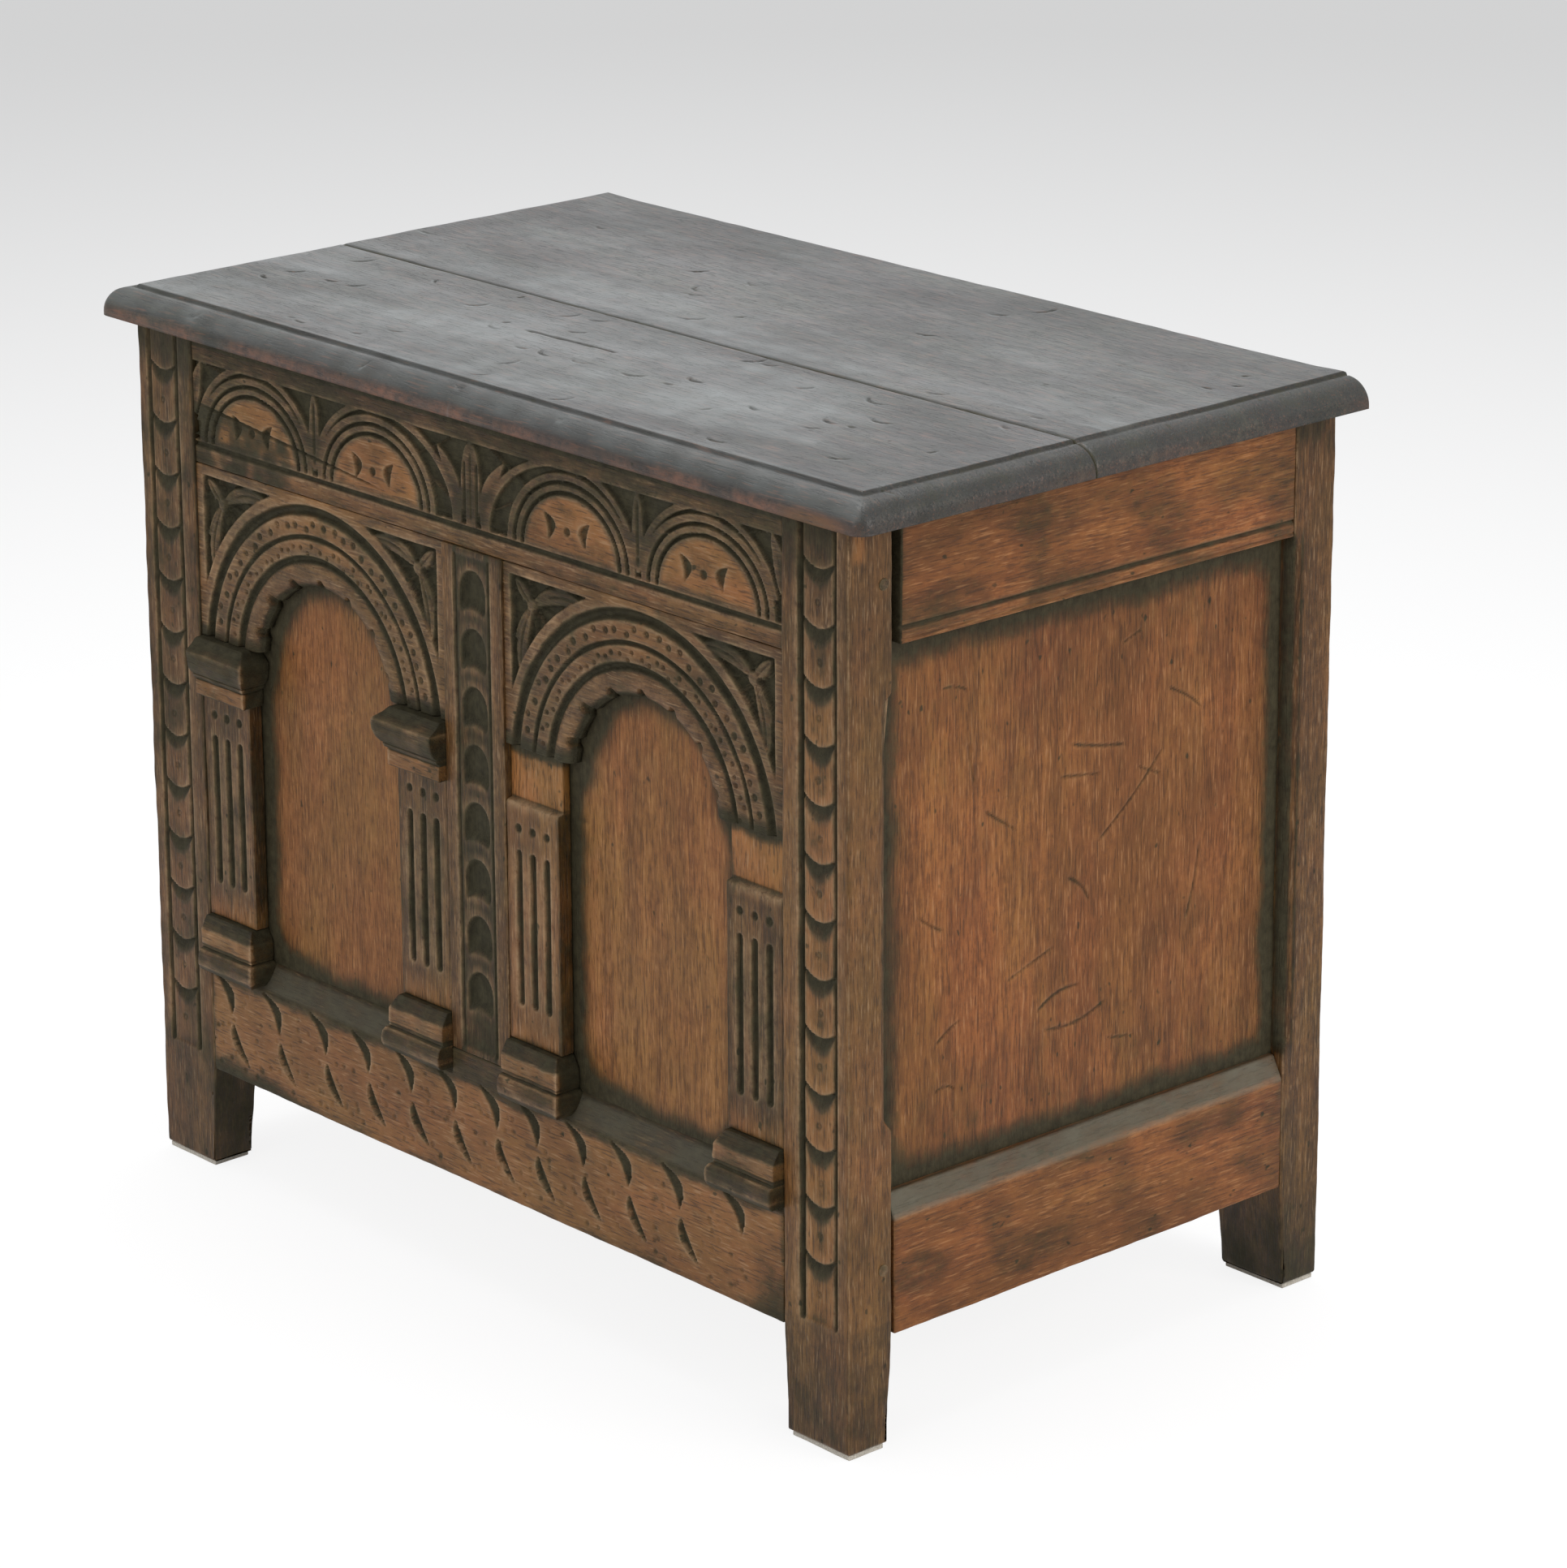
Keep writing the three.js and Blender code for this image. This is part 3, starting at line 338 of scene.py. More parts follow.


# %% [markdown]
# ## Old oak
# Waxed oak of this age is brown where hands reach, golden where the wood was left plain, and almost
# black with a green cast where polish has lain in the carving for centuries; the same dark tones also
# paint shade. One function builds that finish as a node tree. Long thin noise along the grain makes the
# growth lines and the pores, broad noise shifts the tone from place to place, and the stored dirt and
# painted shade, the wear, and the dust and painted sheen choose between the colours.
# It reads object coordinates, which are the chest's own, so the pattern stays with the wood.


# %% Node helper
def new_material(name):
    material = bpy.data.materials.new(name)
    material.use_nodes = True
    tree = material.node_tree
    tree.nodes.clear()
    output = tree.nodes.new("ShaderNodeOutputMaterial")
    shader = tree.nodes.new("ShaderNodeBsdfPrincipled")
    tree.links.new(shader.outputs["BSDF"], output.inputs["Surface"])
    return material, tree, shader


def node(tree, kind, inputs=None, **settings):
    made = tree.nodes.new("ShaderNode" + kind)
    for key, value in settings.items():
        setattr(made, key, value)
    for key, value in (inputs or {}).items():
        if isinstance(value, bpy.types.NodeSocket):
            tree.links.new(value, made.inputs[key])
        else:
            made.inputs[key].default_value = value
    return made


def mark(tree, name):
    return node(tree, "Attribute", attribute_name=name).outputs["Fac"]


def maths(tree, operation, *values, clamp=False):
    return node(tree, "Math", dict(enumerate(values)), operation=operation, use_clamp=clamp).outputs[0]


def blend(tree, share, first, second, kind="MIX"):
    mixed = node(tree, "Mix", data_type="RGBA", blend_type=kind)
    for index, value in ((0, share), (6, first), (7, second)):
        if isinstance(value, bpy.types.NodeSocket):
            tree.links.new(value, mixed.inputs[index])
        else:
            mixed.inputs[index].default_value = value
    return mixed.outputs[2]


def between(tree, value, low, high, to_low=0.0, to_high=1.0):
    ranged = node(tree, "MapRange", {0: value, 1: low, 2: high, 3: to_low, 4: to_high})
    return ranged.outputs[0]


# %% Oak
def colour(red, green, blue):
    """A colour as it is seen, out of 255, in the linear values that the shader wants."""
    return [((c / 255 + 0.055) / 1.055) ** 2.4 for c in (red, green, blue)] + [1]


def shade(tone, share):
    return [channel * share for channel in tone[:3]] + [1]


GOLD = colour(158, 106, 58)
# Dark old wax in the carving; the same tone also paints shade
GRIME_AND_SHADE = colour(53, 50, 36)
DUSKY = (0.4, 0.44, 0.35, 1)
RUDDY = (1.05, 0.94, 0.88, 1)
TAWNY = (0.98, 1.02, 0.84, 1)
# Painted sheen: the lid's pale grey stands in for light mirrored in its wax
LID_PAINTED_SHEEN = colour(113, 117, 116)
# Dust; on the side's chamfer it is also a painted highlight
DUST_AND_HIGHLIGHT = colour(112, 108, 94)


def stretched(tree, place, grain, along, across, board_mark, detail=5.0, rough=0.6):
    scale = [along if axis == grain else across for axis in "xyz"]
    mapped = node(tree, "Mapping", {"Vector": place, "Scale": scale}).outputs[0]
    settings = {"Vector": mapped, "W": board_mark, "Scale": 1.0, "Detail": detail, "Roughness": rough}
    return node(tree, "TexNoise", settings, noise_dimensions="4D").outputs["Fac"]


def oak(name, grain, deep, body, light, worn, gloss=0.5, patchy=0.5, shine=0.28, age=0.7, dust_and_sheen=DUST_AND_HIGHLIGHT):
    material, tree, shader = new_material(name)
    place = node(tree, "TexCoord").outputs["Object"]
    which = mark(tree, "board")
    growth = stretched(tree, place, grain, 5, 90, which)
    figure = stretched(tree, place, grain, 45, 620, which, detail=4)
    pores = stretched(tree, place, grain, 80, 1000, which, detail=2, rough=0.5)
    broad = stretched(tree, place, grain, 5, 9, which, detail=3)
    hue = stretched(tree, place, grain, 9, 22, which, detail=4)
    blotch = stretched(tree, place, grain, 30, 48, which, detail=6, rough=0.68)
    speckle = stretched(tree, place, grain, 160, 190, which, detail=4, rough=0.7)
    tone = maths(tree, "ADD", maths(tree, "MULTIPLY", growth, 0.3), maths(tree, "MULTIPLY", figure, 0.35))
    tone = maths(tree, "ADD", tone, maths(tree, "MULTIPLY", speckle, 0.35))
    wood = blend(tree, between(tree, tone, 0.4, 0.51), deep, body)
    wood = blend(tree, between(tree, tone, 0.5, 0.62), wood, light)
    wood = blend(tree, maths(tree, "MULTIPLY", mark(tree, "polish"), 0.8), wood, GOLD)
    leaning = blend(tree, between(tree, hue, 0.4, 0.6), RUDDY, TAWNY)
    wood = blend(tree, 1.0, wood, leaning, kind="MULTIPLY")
    wood = blend(tree, between(tree, broad, 0.42, 0.68, 0, patchy), wood, shade(body, 0.55))
    open_pores = between(tree, pores, 0.44, 0.36)
    wood = blend(tree, maths(tree, "MULTIPLY", open_pores, 0.6), wood, shade(body, 0.3))
    flecks = between(tree, pores, 0.58, 0.68, 0, 0.4)
    wood = blend(tree, flecks, wood, worn)
    rub = maths(tree, "MULTIPLY", mark(tree, "wear"), between(tree, speckle, 0.3, 0.62))
    wood = blend(tree, maths(tree, "MULTIPLY", rub, 0.85), wood, worn)
    uneven = maths(tree, "MULTIPLY", maths(tree, "SUBTRACT", speckle, 0.5), 0.6)
    clouds = maths(tree, "MULTIPLY", maths(tree, "SUBTRACT", blotch, 0.5), 2.4 * age)
    spots = between(tree, stretched(tree, place, grain, 130, 210, which, detail=1), 0.7, 0.78, 0, 0.5)
    # The stored dirt also holds painted shade, and the dark tones below paint both
    dark_sum = maths(tree, "ADD", mark(tree, "dirt_and_shade"), uneven)
    dark_sum = maths(tree, "ADD", dark_sum, maths(tree, "ADD", spots, clouds))
    wood = blend(tree, between(tree, dark_sum, 0.0, 0.5), wood, DUSKY, kind="MULTIPLY")
    grime_and_shade = between(tree, dark_sum, 0.28, 0.8)
    wax_and_shade_tone = blend(tree, between(tree, speckle, 0.36, 0.66), shade(GRIME_AND_SHADE, 0.75), shade(GRIME_AND_SHADE, 1.45))
    wood = blend(tree, maths(tree, "MULTIPLY", grime_and_shade, 0.93), wood, wax_and_shade_tone)
    # The pale mark is dust on the sill and the chamfer, with a painted highlight on the chamfer, and
    # painted sheen and highlights on the lid
    pale = maths(tree, "MULTIPLY", mark(tree, "dust_and_sheen"), between(tree, blotch, 0.36, 0.64, 0.4, 0.85))
    wood = blend(tree, pale, wood, dust_and_sheen)
    tree.links.new(wood, shader.inputs["Base Color"])
    tree.links.new(between(tree, grime_and_shade, 0, 1, shine, 0.5 * shine), shader.inputs["Specular IOR Level"])
    dull = between(tree, broad, 0.3, 0.7, gloss - 0.07, gloss + 0.09)
    dull = maths(tree, "ADD", dull, maths(tree, "MULTIPLY", grime_and_shade, 0.15), clamp=True)
    tree.links.new(dull, shader.inputs["Roughness"])
    height = maths(tree, "SUBTRACT", maths(tree, "MULTIPLY", figure, 0.5), open_pores)
    height = maths(tree, "ADD", height, maths(tree, "MULTIPLY", speckle, 0.8))
    height = maths(tree, "ADD", height, maths(tree, "MULTIPLY", blotch, 0.9))
    bump = node(tree, "Bump", {"Strength": 0.45, "Distance": 0.0007, "Height": height})
    tree.links.new(bump.outputs["Normal"], shader.inputs["Normal"])
    return material


brown = {"deep": colour(64, 43, 23), "body": colour(96, 67, 36), "light": colour(126, 90, 52),
         "worn": colour(168, 138, 104)}
golden = {"deep": colour(102, 63, 28), "body": colour(130, 85, 43), "light": colour(152, 104, 57),
          "worn": colour(182, 134, 84)}
russet = {"deep": colour(100, 58, 24), "body": colour(132, 81, 39), "light": colour(156, 101, 52),
          "worn": colour(184, 134, 88)}
sable = {"deep": colour(40, 39, 38), "body": colour(54, 53, 51), "light": colour(74, 72, 66),
         "worn": colour(128, 85, 64)}
bare = {"deep": colour(104, 74, 48), "body": colour(132, 98, 66), "light": colour(156, 122, 86),
        "worn": colour(165, 132, 96)}
brown_oak = {grain: oak(f"brown_oak_{grain}", grain, **brown) for grain in "xyz"}
golden_oak = oak("golden_oak", "z", **golden, patchy=0.35, age=0.3)
side_oak = {grain: oak(f"side_oak_{grain}", grain, **russet, patchy=0.6, age=0.4) for grain in "yz"}
lid_oak = oak("lid_oak", "x", **sable, gloss=0.36, patchy=0.6, shine=0.45, dust_and_sheen=LID_PAINTED_SHEEN)
bare_oak = {grain: oak(f"bare_oak_{grain}", grain, **bare, gloss=0.75, shine=0.2) for grain in "xyz"}
print(len(bpy.data.materials), "materials")


# %% [markdown]
# ## Front stiles
# Each front stile has a sunk channel with a row of overlapping scales. A scale is a rounded tongue: its
# end is stabbed straight down with a gouge, and the wood under it is pared away to nothing, which
# leaves a smile that is painted dark as shade. Two grooves run down the channel's sides, and each
# tongue has one ring punch.

# %% Scales
CHANNEL_FROM_EDGE = 9.5
CHANNEL_WIDTH = 31.0
OUTER_GROOVE = 3.0
INNER_GROOVE = 4.6
SCALE_PITCH = 33.5
SCALE_BELOW_TOP = 23.5
SCALE_SAG = 4.6
SCALE_SLOPE = 10.5
SCALE_DEPTH = 3.4
CHANNEL_DEPTH = 0.7
CHANNEL_GROOVE_DEPTH = 4.0
CHANNEL_ABOVE_RAIL = 8.0
PUNCH_BELOW_END = 23.0


def scales(hand):
    middle = hand * (outer_x - CHANNEL_FROM_EDGE - CHANNEL_WIDTH / 2)
    lowest = rail_bottom + CHANNEL_ABOVE_RAIL
    ends = np.arange(frame_top - SCALE_BELOW_TOP, lowest + SCALE_SLOPE, -SCALE_PITCH)
    right = CHANNEL_WIDTH / 2 - (OUTER_GROOVE if hand > 0 else INNER_GROOVE)
    left = CHANNEL_WIDTH / 2 - (INNER_GROOVE if hand > 0 else OUTER_GROOVE)
    tongue_middle, tongue = middle + (right - left) / 2, (right + left) / 2

    def below_end(x, z, end):
        """How far a point lies under a tongue's round end."""
        return end - SCALE_SAG * np.clip(1 - ((x - tongue_middle) / tongue) ** 2, -1, 1) - z

    def slope(x):
        """How far the paring runs down; it runs out towards the sides."""
        return SCALE_SLOPE * np.sqrt(np.clip(1 - 0.8 * ((x - tongue_middle) / tongue) ** 2, 0.05, 1))

    def to_grooves(x):
        across = x - tongue_middle
        beside = np.where(across > 0, CHANNEL_WIDTH / 2 - right, CHANNEL_WIDTH / 2 - left)
        return np.abs(across) - tongue - beside / 2, beside

    def cut(x, z):
        across = x - tongue_middle
        depth = CHANNEL_DEPTH * standing(np.abs(x - middle) - CHANNEL_WIDTH / 2 + 0.8, 0.8)
        depth = depth + groove(*to_grooves(x), CHANNEL_GROOVE_DEPTH)
        for end in ends:
            below = below_end(x, z, end)
            pared = SCALE_DEPTH * ease(below / 0.8) * np.clip(1 - below / slope(x), 0, 1)
            depth = np.maximum(depth, np.where(np.abs(across) < tongue + 1, pared, 0))
        centres = [(tongue_middle + 0.9 * math.sin(end), end - PUNCH_BELOW_END + 1.2 * math.cos(end))
                   for end in ends]
        depth = np.maximum(depth, punched(x, z, centres, 2.6, 1.2))
        return depth * ease((z - lowest) / 2.5)

    def dark_correction(x, z, dirt_and_shade):
        inside = ease((tongue - np.abs(x - tongue_middle)) / 1.5)
        for end in ends:
            below = below_end(x, z, end)
            # Painted shade: the pared hollow under each tongue's end is dark, most just under the end
            shadow = 0.72 * ease(1.5 - below / slope(x)) + 0.2 * ease(1.3 - below / 2.5)
            dirt_and_shade = np.maximum(dirt_and_shade, shadow * ease(below / 0.8 + 0.4) * inside)
        off, beside = to_grooves(x)
        dirt_and_shade = np.maximum(dirt_and_shade, 0.8 * ease(1.4 - 2 * np.abs(off) / beside))
        return dirt_and_shade * ease((z - lowest + 1) / 2.5)

    def gold(x, y, z):
        on_tongue = ease((tongue - np.abs(x - tongue_middle)) / 2) * (y < front_y + 3)
        for end in ends:
            below = below_end(x, z, end)
            on_tongue = on_tongue * (1 - ease(below / 0.8 + 0.4) * ease(1.6 - below / slope(x)))
        rubbed = (0.22 + 0.45 * on_tongue) * ease((z - lowest) / 2.5) * ease((490 - z) / 60)
        chip = ease(1.3 - np.abs(y - front_y - 8) / 5) * (hand * x > outer_x - 3) * ease((z - 519) / 5)
        return rubbed * (0.6 + 0.4 * hand) + chip * (hand > 0)

    width = sorted((hand * inner_x, hand * outer_x))
    return Carving(cut, width, (feet_z, frame_top), dark_correction, age=0.08), gold


print("scales hang", SCALE_PITCH, "mm apart in a channel", CHANNEL_WIDTH, "mm wide")


# %% [markdown]
# ## Stiles that are feet
# The stiles run on below the rails as feet, each tapered a little on its two inner faces. The arris
# beside the side panel has a chamfer that stops short of the rails. Both could be cut with booleans, but
# moving the points of the finished grid keeps the wear and the stain where they lie.

# %% Stiles
FOOT_TAPER = 4.0
CHAMFER_LEG = 7.0
FRONT_CHAMFER_Z = (188.3, 446.3)
REAR_CHAMFER_Z = (153.3, 469.3)
CHAMFER_STOP = 9.0


def stile_shape(hand, y_inner, y_way, chamfer_z):
    """The foot narrows on its inner faces, and the arris beside the side panel has a stopped chamfer."""

    def shape(points):
        x, y, z = points.T
        share = np.clip((rail_bottom - z) / (rail_bottom - feet_z), 0, 1) * FOOT_TAPER
        points[:, 0] += np.where(np.abs(x - hand * inner_x) < 3, hand * share, 0)
        points[:, 1] += np.where(np.abs(y - y_inner) < 3, y_way * share, 0)
        ends = ease((z - chamfer_z[0]) / CHAMFER_STOP) * ease((chamfer_z[1] - z) / CHAMFER_STOP)
        from_face, from_side = outer_x - hand * points[:, 0], -y_way * (y_inner - points[:, 1])
        pared = np.clip(CHAMFER_LEG * ends - from_face - np.abs(from_side), 0, None) / 2
        points[:, 0] -= hand * pared
        points[:, 1] += y_way * pared
        return points

    return shape


def stile_stain(y_inner, chamfer_z):
    """Darker towards the lid; old wax lies on the feet, at the rails' shoulders and along the chamfers."""

    def darkness(x, y, z):
        clean = (x > outer_x - CHANNEL_FROM_EDGE) & (y < 0)
        at_lid = ease(1.1 - (frame_top - z) / 45) * np.where(y < front_y + 3, 0.65, 0.35) * (1 - clean)
        at_floor = ease(1 - (z - feet_z) / 75) * np.where(y > 0, 0.62, 0.3)
        at_shoulder = ease(1 - np.abs(np.abs(x) - inner_x) / 2.2) * 0.5
        beside = np.abs(y - y_inner)
        length = ease((z - chamfer_z[0] + 6) / 8) * ease((chamfer_z[1] + 6 - z) / 8)
        lines = ease(1 - np.abs(beside - 7.5) / 2.0) * 0.7 + ease(1 - beside / 3.2) * 0.7
        chamfer = np.where(np.abs(x) > outer_x - CHAMFER_LEG - 1, lines * length, 0)
        under = np.where(z < rail_bottom, ease(1 - (np.abs(x) - inner_x) / 4) * 0.45, 0)
        darker_left = np.where((x < 0) & (y < 0), 0.24, 0)
        return np.maximum.reduce([at_lid, at_floor, at_shoulder, chamfer, under, darker_left])

    return darkness


for hand, side in ((-1, "left"), (1, "right")):
    low, high = limits(f"front_{side}_stile")
    tongues, gold = scales(hand)
    board(f"front_{side}_stile", low, high, brown_oak["z"], step=(1.0, 2.5, 1.0), arris=1.8,
          carving=tongues, polish=gold, darkness=stile_stain(inner_front, FRONT_CHAMFER_Z),
          shape=stile_shape(hand, inner_front, -1, FRONT_CHAMFER_Z))
    low, high = limits(f"rear_{side}_stile")
    board(f"rear_{side}_stile", low, high, brown_oak["z"], step=(5, 2.5, 4), arris=1.8,
          darkness=stile_stain(inner_back, REAR_CHAMFER_Z),
          shape=stile_shape(hand, inner_back, 1, REAR_CHAMFER_Z))
print("stiles", [len(pieces[f"front_{side}_stile"].data.polygons) for side in ("left", "right")])


# %% [markdown]
# ## Top rail
# Four lunettes stand on a groove. Each is a flattened half round of golden ground with two thumbnail cuts
# and a dot, inside two thin ridges. An outer ridge, drawn out towards the middle of the rail, bounds the
# wide hollow round them. Leaves rise between the lunettes, a broad one stands in the middle, and what is
# left over is sunk and dark. A shake runs through the two left lunettes. Just under the lid the rail
# carries a painted shadow of the lid.

# %% Lunette frieze
LUNETTE_PITCH = 116.5
LUNETTE_ABOVE_EDGE = 15.0
FRIEZE_BELOW_TOP = 15.5
FRIEZE_GROUND = 4.2
LUNETTE_STRETCH = 1.175
LUNETTE_FIELD = 34.7
LUNETTE_GROUND = 1.3
LUNETTE_RIDGES = ((37.5, 40.7), (43.4, 47.4))
OUTER_RIDGE = (50.6, 54.4)
OUTER_STRETCH_WIDE = 1.415
OUTER_STRETCH_NARROW = 1.09
SHAKE_HIGH = 23.0
SHAKE_LOW = 3.5
SHAKE_LENGTH = 188.0
lunette_z = panel_z[1] + LUNETTE_ABOVE_EDGE
frieze_top = frame_top - FRIEZE_BELOW_TOP
lunettes = [side * bay_centre + way * LUNETTE_PITCH / 2 for side in (-1, 1) for way in (-1, 1)]


def leaf_depth(x, z, start, end, width, bow=0.0, vein=1.1, full=0.7, vein_width=1.6):
    """A standing leaf with a rounded back and a vein cut down its middle."""
    inside, side, share = petal(x, z, start, end, width, bow, full)
    back = 0.5 + 0.5 * ease(1 - inside / (0.4 * width))
    line = groove(side, vein_width, vein) * ease(6 * share) * ease(5 * (1 - share))
    return back + line, inside


def lunette_distance(x, z, middle):
    """How far a point lies from a lunette's middle; the half rounds are wider than they are high."""
    return np.hypot((x - middle) / LUNETTE_STRETCH, z - lunette_z)


def frieze_cut(x, z):
    height = z - lunette_z
    depth = np.full(x.shape, FRIEZE_GROUND)

    def leave(inside, at=0.3, slope=1.3):
        nonlocal depth
        depth = np.minimum(depth, at + (FRIEZE_GROUND - at) * standing(inside, slope))

    def ridge(away, inner, outer, height_left):
        off = np.abs(away - (inner + outer) / 2) / (outer - inner) * 2
        inside = np.minimum((1 - off) * (outer - inner) / 2, height_left)
        leave(inside, 0.3 + 0.5 * np.clip(off, 0, 1) ** 2, 0.9)

    leave(z - frieze_top, 0.0)
    for middle in lunettes:
        away = lunette_distance(x, z, middle)
        leave(np.minimum(LUNETTE_FIELD - away, height), LUNETTE_GROUND, 1.0)
        for inner, outer in LUNETTE_RIDGES:
            ridge(away, inner, outer, height)
        wide = ((x - middle) * middle < 0) & (abs(middle) < bay_centre)
        stretch = np.where(wide, OUTER_STRETCH_WIDE, OUTER_STRETCH_NARROW)
        outermost = np.hypot((x - middle) / stretch, height)
        ridge(outermost, *OUTER_RIDGE, np.where(wide, height, height - 12))
    for middle in (-bay_centre, bay_centre):
        start, tip = (middle, lunette_z + 3), (middle, frieze_top - 1)
        back, inside = leaf_depth(x, z, start, tip, 9, vein=1.8, full=0.4, vein_width=3.6)
        leave(inside, back)
    for end in (-1, 1):
        start, tip = (end * 9.5, lunette_z - 1), (end * 30, lunette_z + 42)
        back, inside = leaf_depth(x, z, start, tip, 9, -5 * end, vein=0.5)
        leave(inside, back)
        edge = end * (inner_x - 1)
        start, tip = (edge, lunette_z + 16), (edge - end * 7, frieze_top - 1)
        back, inside = leaf_depth(x, z, start, tip, 9, end * 2)
        leave(inside, back)
    start, tip = (0, lunette_z - 3), (0, frieze_top - 1.5)
    back, inside = leaf_depth(x, z, start, tip, 17, vein=1.6, full=0.35)
    veins = sum(groove(x - line, 2.2, 2.2) for line in (-5.5, 5.5)) * ease((frieze_top - 10 - z) / 6)
    leave(inside, back + veins)
    depth = np.where(height < 0, groove(height + 3.0, 6.0, 3.2), depth)
    for middle in lunettes:
        for way in (-1, 1):
            start, end = (middle - 3 + 16 * way, lunette_z + 6.5), (middle - 3 + 20 * way, lunette_z + 22)
            inside = petal(x, z, start, end, 7.5, -4.5 * way, 0.9)[0]
            pared = LUNETTE_GROUND + 2.4 * ease(inside / 1.2)
            depth = np.where(inside > 0, np.maximum(depth, pared), depth)
        dot = 2.6 - np.hypot(x - middle + 3, z - lunette_z - 13.5)
        depth = np.maximum(depth, LUNETTE_GROUND + 1.6 * ease(dot / 1.2 + 0.3) * (dot > -0.4))
    start, end = (-inner_x, lunette_z + SHAKE_HIGH), (SHAKE_LENGTH - inner_x, lunette_z + SHAKE_LOW)
    return depth + scratch(x, z, start, end, 1.5, 2.0)


print("lunettes stand at", [round(middle) for middle in lunettes], "mm from the middle")


# %% Top rail
low, high = limits("front_top_rail")
low[0], high[0] = -inner_x, inner_x


def in_field(x, z):
    """1 on the golden half rounds, 0 elsewhere."""
    field = np.zeros_like(x)
    for middle in lunettes:
        inside = np.minimum(LUNETTE_FIELD - lunette_distance(x, z, middle), z - lunette_z)
        field = np.maximum(field, ease(inside / 4))
    return field


def frieze_soot(x, z, dirt_and_shade):
    carved = ease((z - lunette_z + 1) / 2) * ease((frieze_top - z + 4) / 3)
    field = in_field(x, z)
    under_shake = lunette_z + SHAKE_HIGH - (x + inner_x) * (SHAKE_HIGH - SHAKE_LOW) / SHAKE_LENGTH - z
    blot = 0.2 + 0.75 * ripple(np.stack([x, z], -1), 24, 31)
    dark_left = 0.6 * ease(under_shake / 3 + 0.5) * ease((-166 - x) / 14) * np.clip(0.75 + blot, 0, 1)
    return np.clip(dirt_and_shade * (1 - 0.4 * field) + carved * (0.33 - 0.31 * field) + dark_left, 0, 1)


frieze = Carving(frieze_cut, (low[0], high[0]), (low[2], high[2]), frieze_soot)


def frieze_dirt_and_shadow(x, y, z):
    # Painted shadow of the lid: dark just under it and darker over the strip below; the ends are darker at
    # the stiles
    under_lid = 0.9 * ease((z - frame_top + 8.5) / 3) + 0.46 * ease((z - frieze_top + 2) / 2.5)
    ends = ease(1 - (inner_x - np.abs(x)) / 9) * 0.3
    return np.maximum(under_lid, ends) * (y < low[1] + 4)


def frieze_gold(x, y, z):
    plain_band = ease((lunette_z - 6 - z) / 2) * 0.22
    return np.maximum(in_field(x, z) * 0.8, plain_band)


board("front_top_rail", low, high, brown_oak["x"], step=(0.85, 6, 0.7), arris=1.0, carving=frieze,
      darkness=frieze_dirt_and_shadow, polish=frieze_gold)
between_lunettes = frieze_cut(np.array([[bay_centre]]), np.array([[frieze_top - 1]]))
print("the frieze is", round(between_lunettes.item(), 2), "mm deep between two lunettes")


# %% [markdown]
# ## Bottom rail
# A running pattern of paired thumbnail cuts: each upper one bows to the right and the one below it
# takes up the line and bows back. The ground between them is dotted with a blunt punch, and along the
# upper edge the rail is chamfered into a sill below each panel.

# %% Running crescents
CRESCENT_TURNS = (-246, -198, -151, -109, -67, -26, 14, 51, 93, 133, 178, 231)
CRESCENT_BELOW_SILL = 4.5
CRESCENT_ABOVE_EDGE = 9.5
UPPER_CUT = {"near": -1.8, "far": -9.8, "depth": 3.6, "skew": 1.3}
LOWER_CUT = {"near": 0.2, "far": 7.0, "depth": 3.4, "skew": 0.7}
DOTS_PER_TURN = 16
SILL_HEIGHT = 17.0
SILL_DEPTH = 11.0
sill_foot = panel_z[0] - SILL_HEIGHT
crescent_top = sill_foot - CRESCENT_BELOW_SILL
crescent_low = rail_bottom + CRESCENT_ABOVE_EDGE


def thumbnail(x, z, start, end, near, far, depth, skew):
    """Stabbed straight down on its far bow and pared away towards its near one; skew moves its fat part."""
    along, side, length = stroke(x, z, start, end)
    bulge = np.sin(math.pi * np.clip(along, 0, 1) ** skew)
    share = (side - near * bulge) / np.where(bulge > 0.02, (far - near) * bulge, 1)
    inside = (along > 0) & (along < 1) & (share > 0) & (share < 1)
    return np.where(inside, depth * np.clip(share, 0, 1) ** 0.6 * ease(5 * bulge), 0)


def crescents_cut(x, z):
    depth = np.zeros_like(x)
    rng = np.random.default_rng(11)
    middle_z = (crescent_top + crescent_low) / 2
    dots = []
    for turn in CRESCENT_TURNS:
        start, end = (turn - 17, crescent_top + 5.5), (turn - 0.5, middle_z + 6)
        depth = np.maximum(depth, thumbnail(x, z, start, end, **UPPER_CUT))
        if turn < CRESCENT_TURNS[-1]:
            start, end = (turn + 1, middle_z + 1), (turn + 16, crescent_low + 2)
            depth = np.maximum(depth, thumbnail(x, z, start, end, **LOWER_CUT))
        for _ in range(DOTS_PER_TURN):
            dots.append((turn + rng.uniform(-38, 4), rng.uniform(crescent_low - 3, crescent_top - 3)))
    depth = np.maximum(depth, punched(x, z, dots, 1.7, 0.5))
    bay = np.abs(x) - muntin_half
    chamfer = SILL_DEPTH * np.clip((z - sill_foot) / SILL_HEIGHT, 0, 1)
    return np.where((bay > 0) & (z > sill_foot), np.maximum(chamfer, depth), depth)


low, high = limits("front_bottom_rail")
low[0], high[0] = -inner_x, inner_x


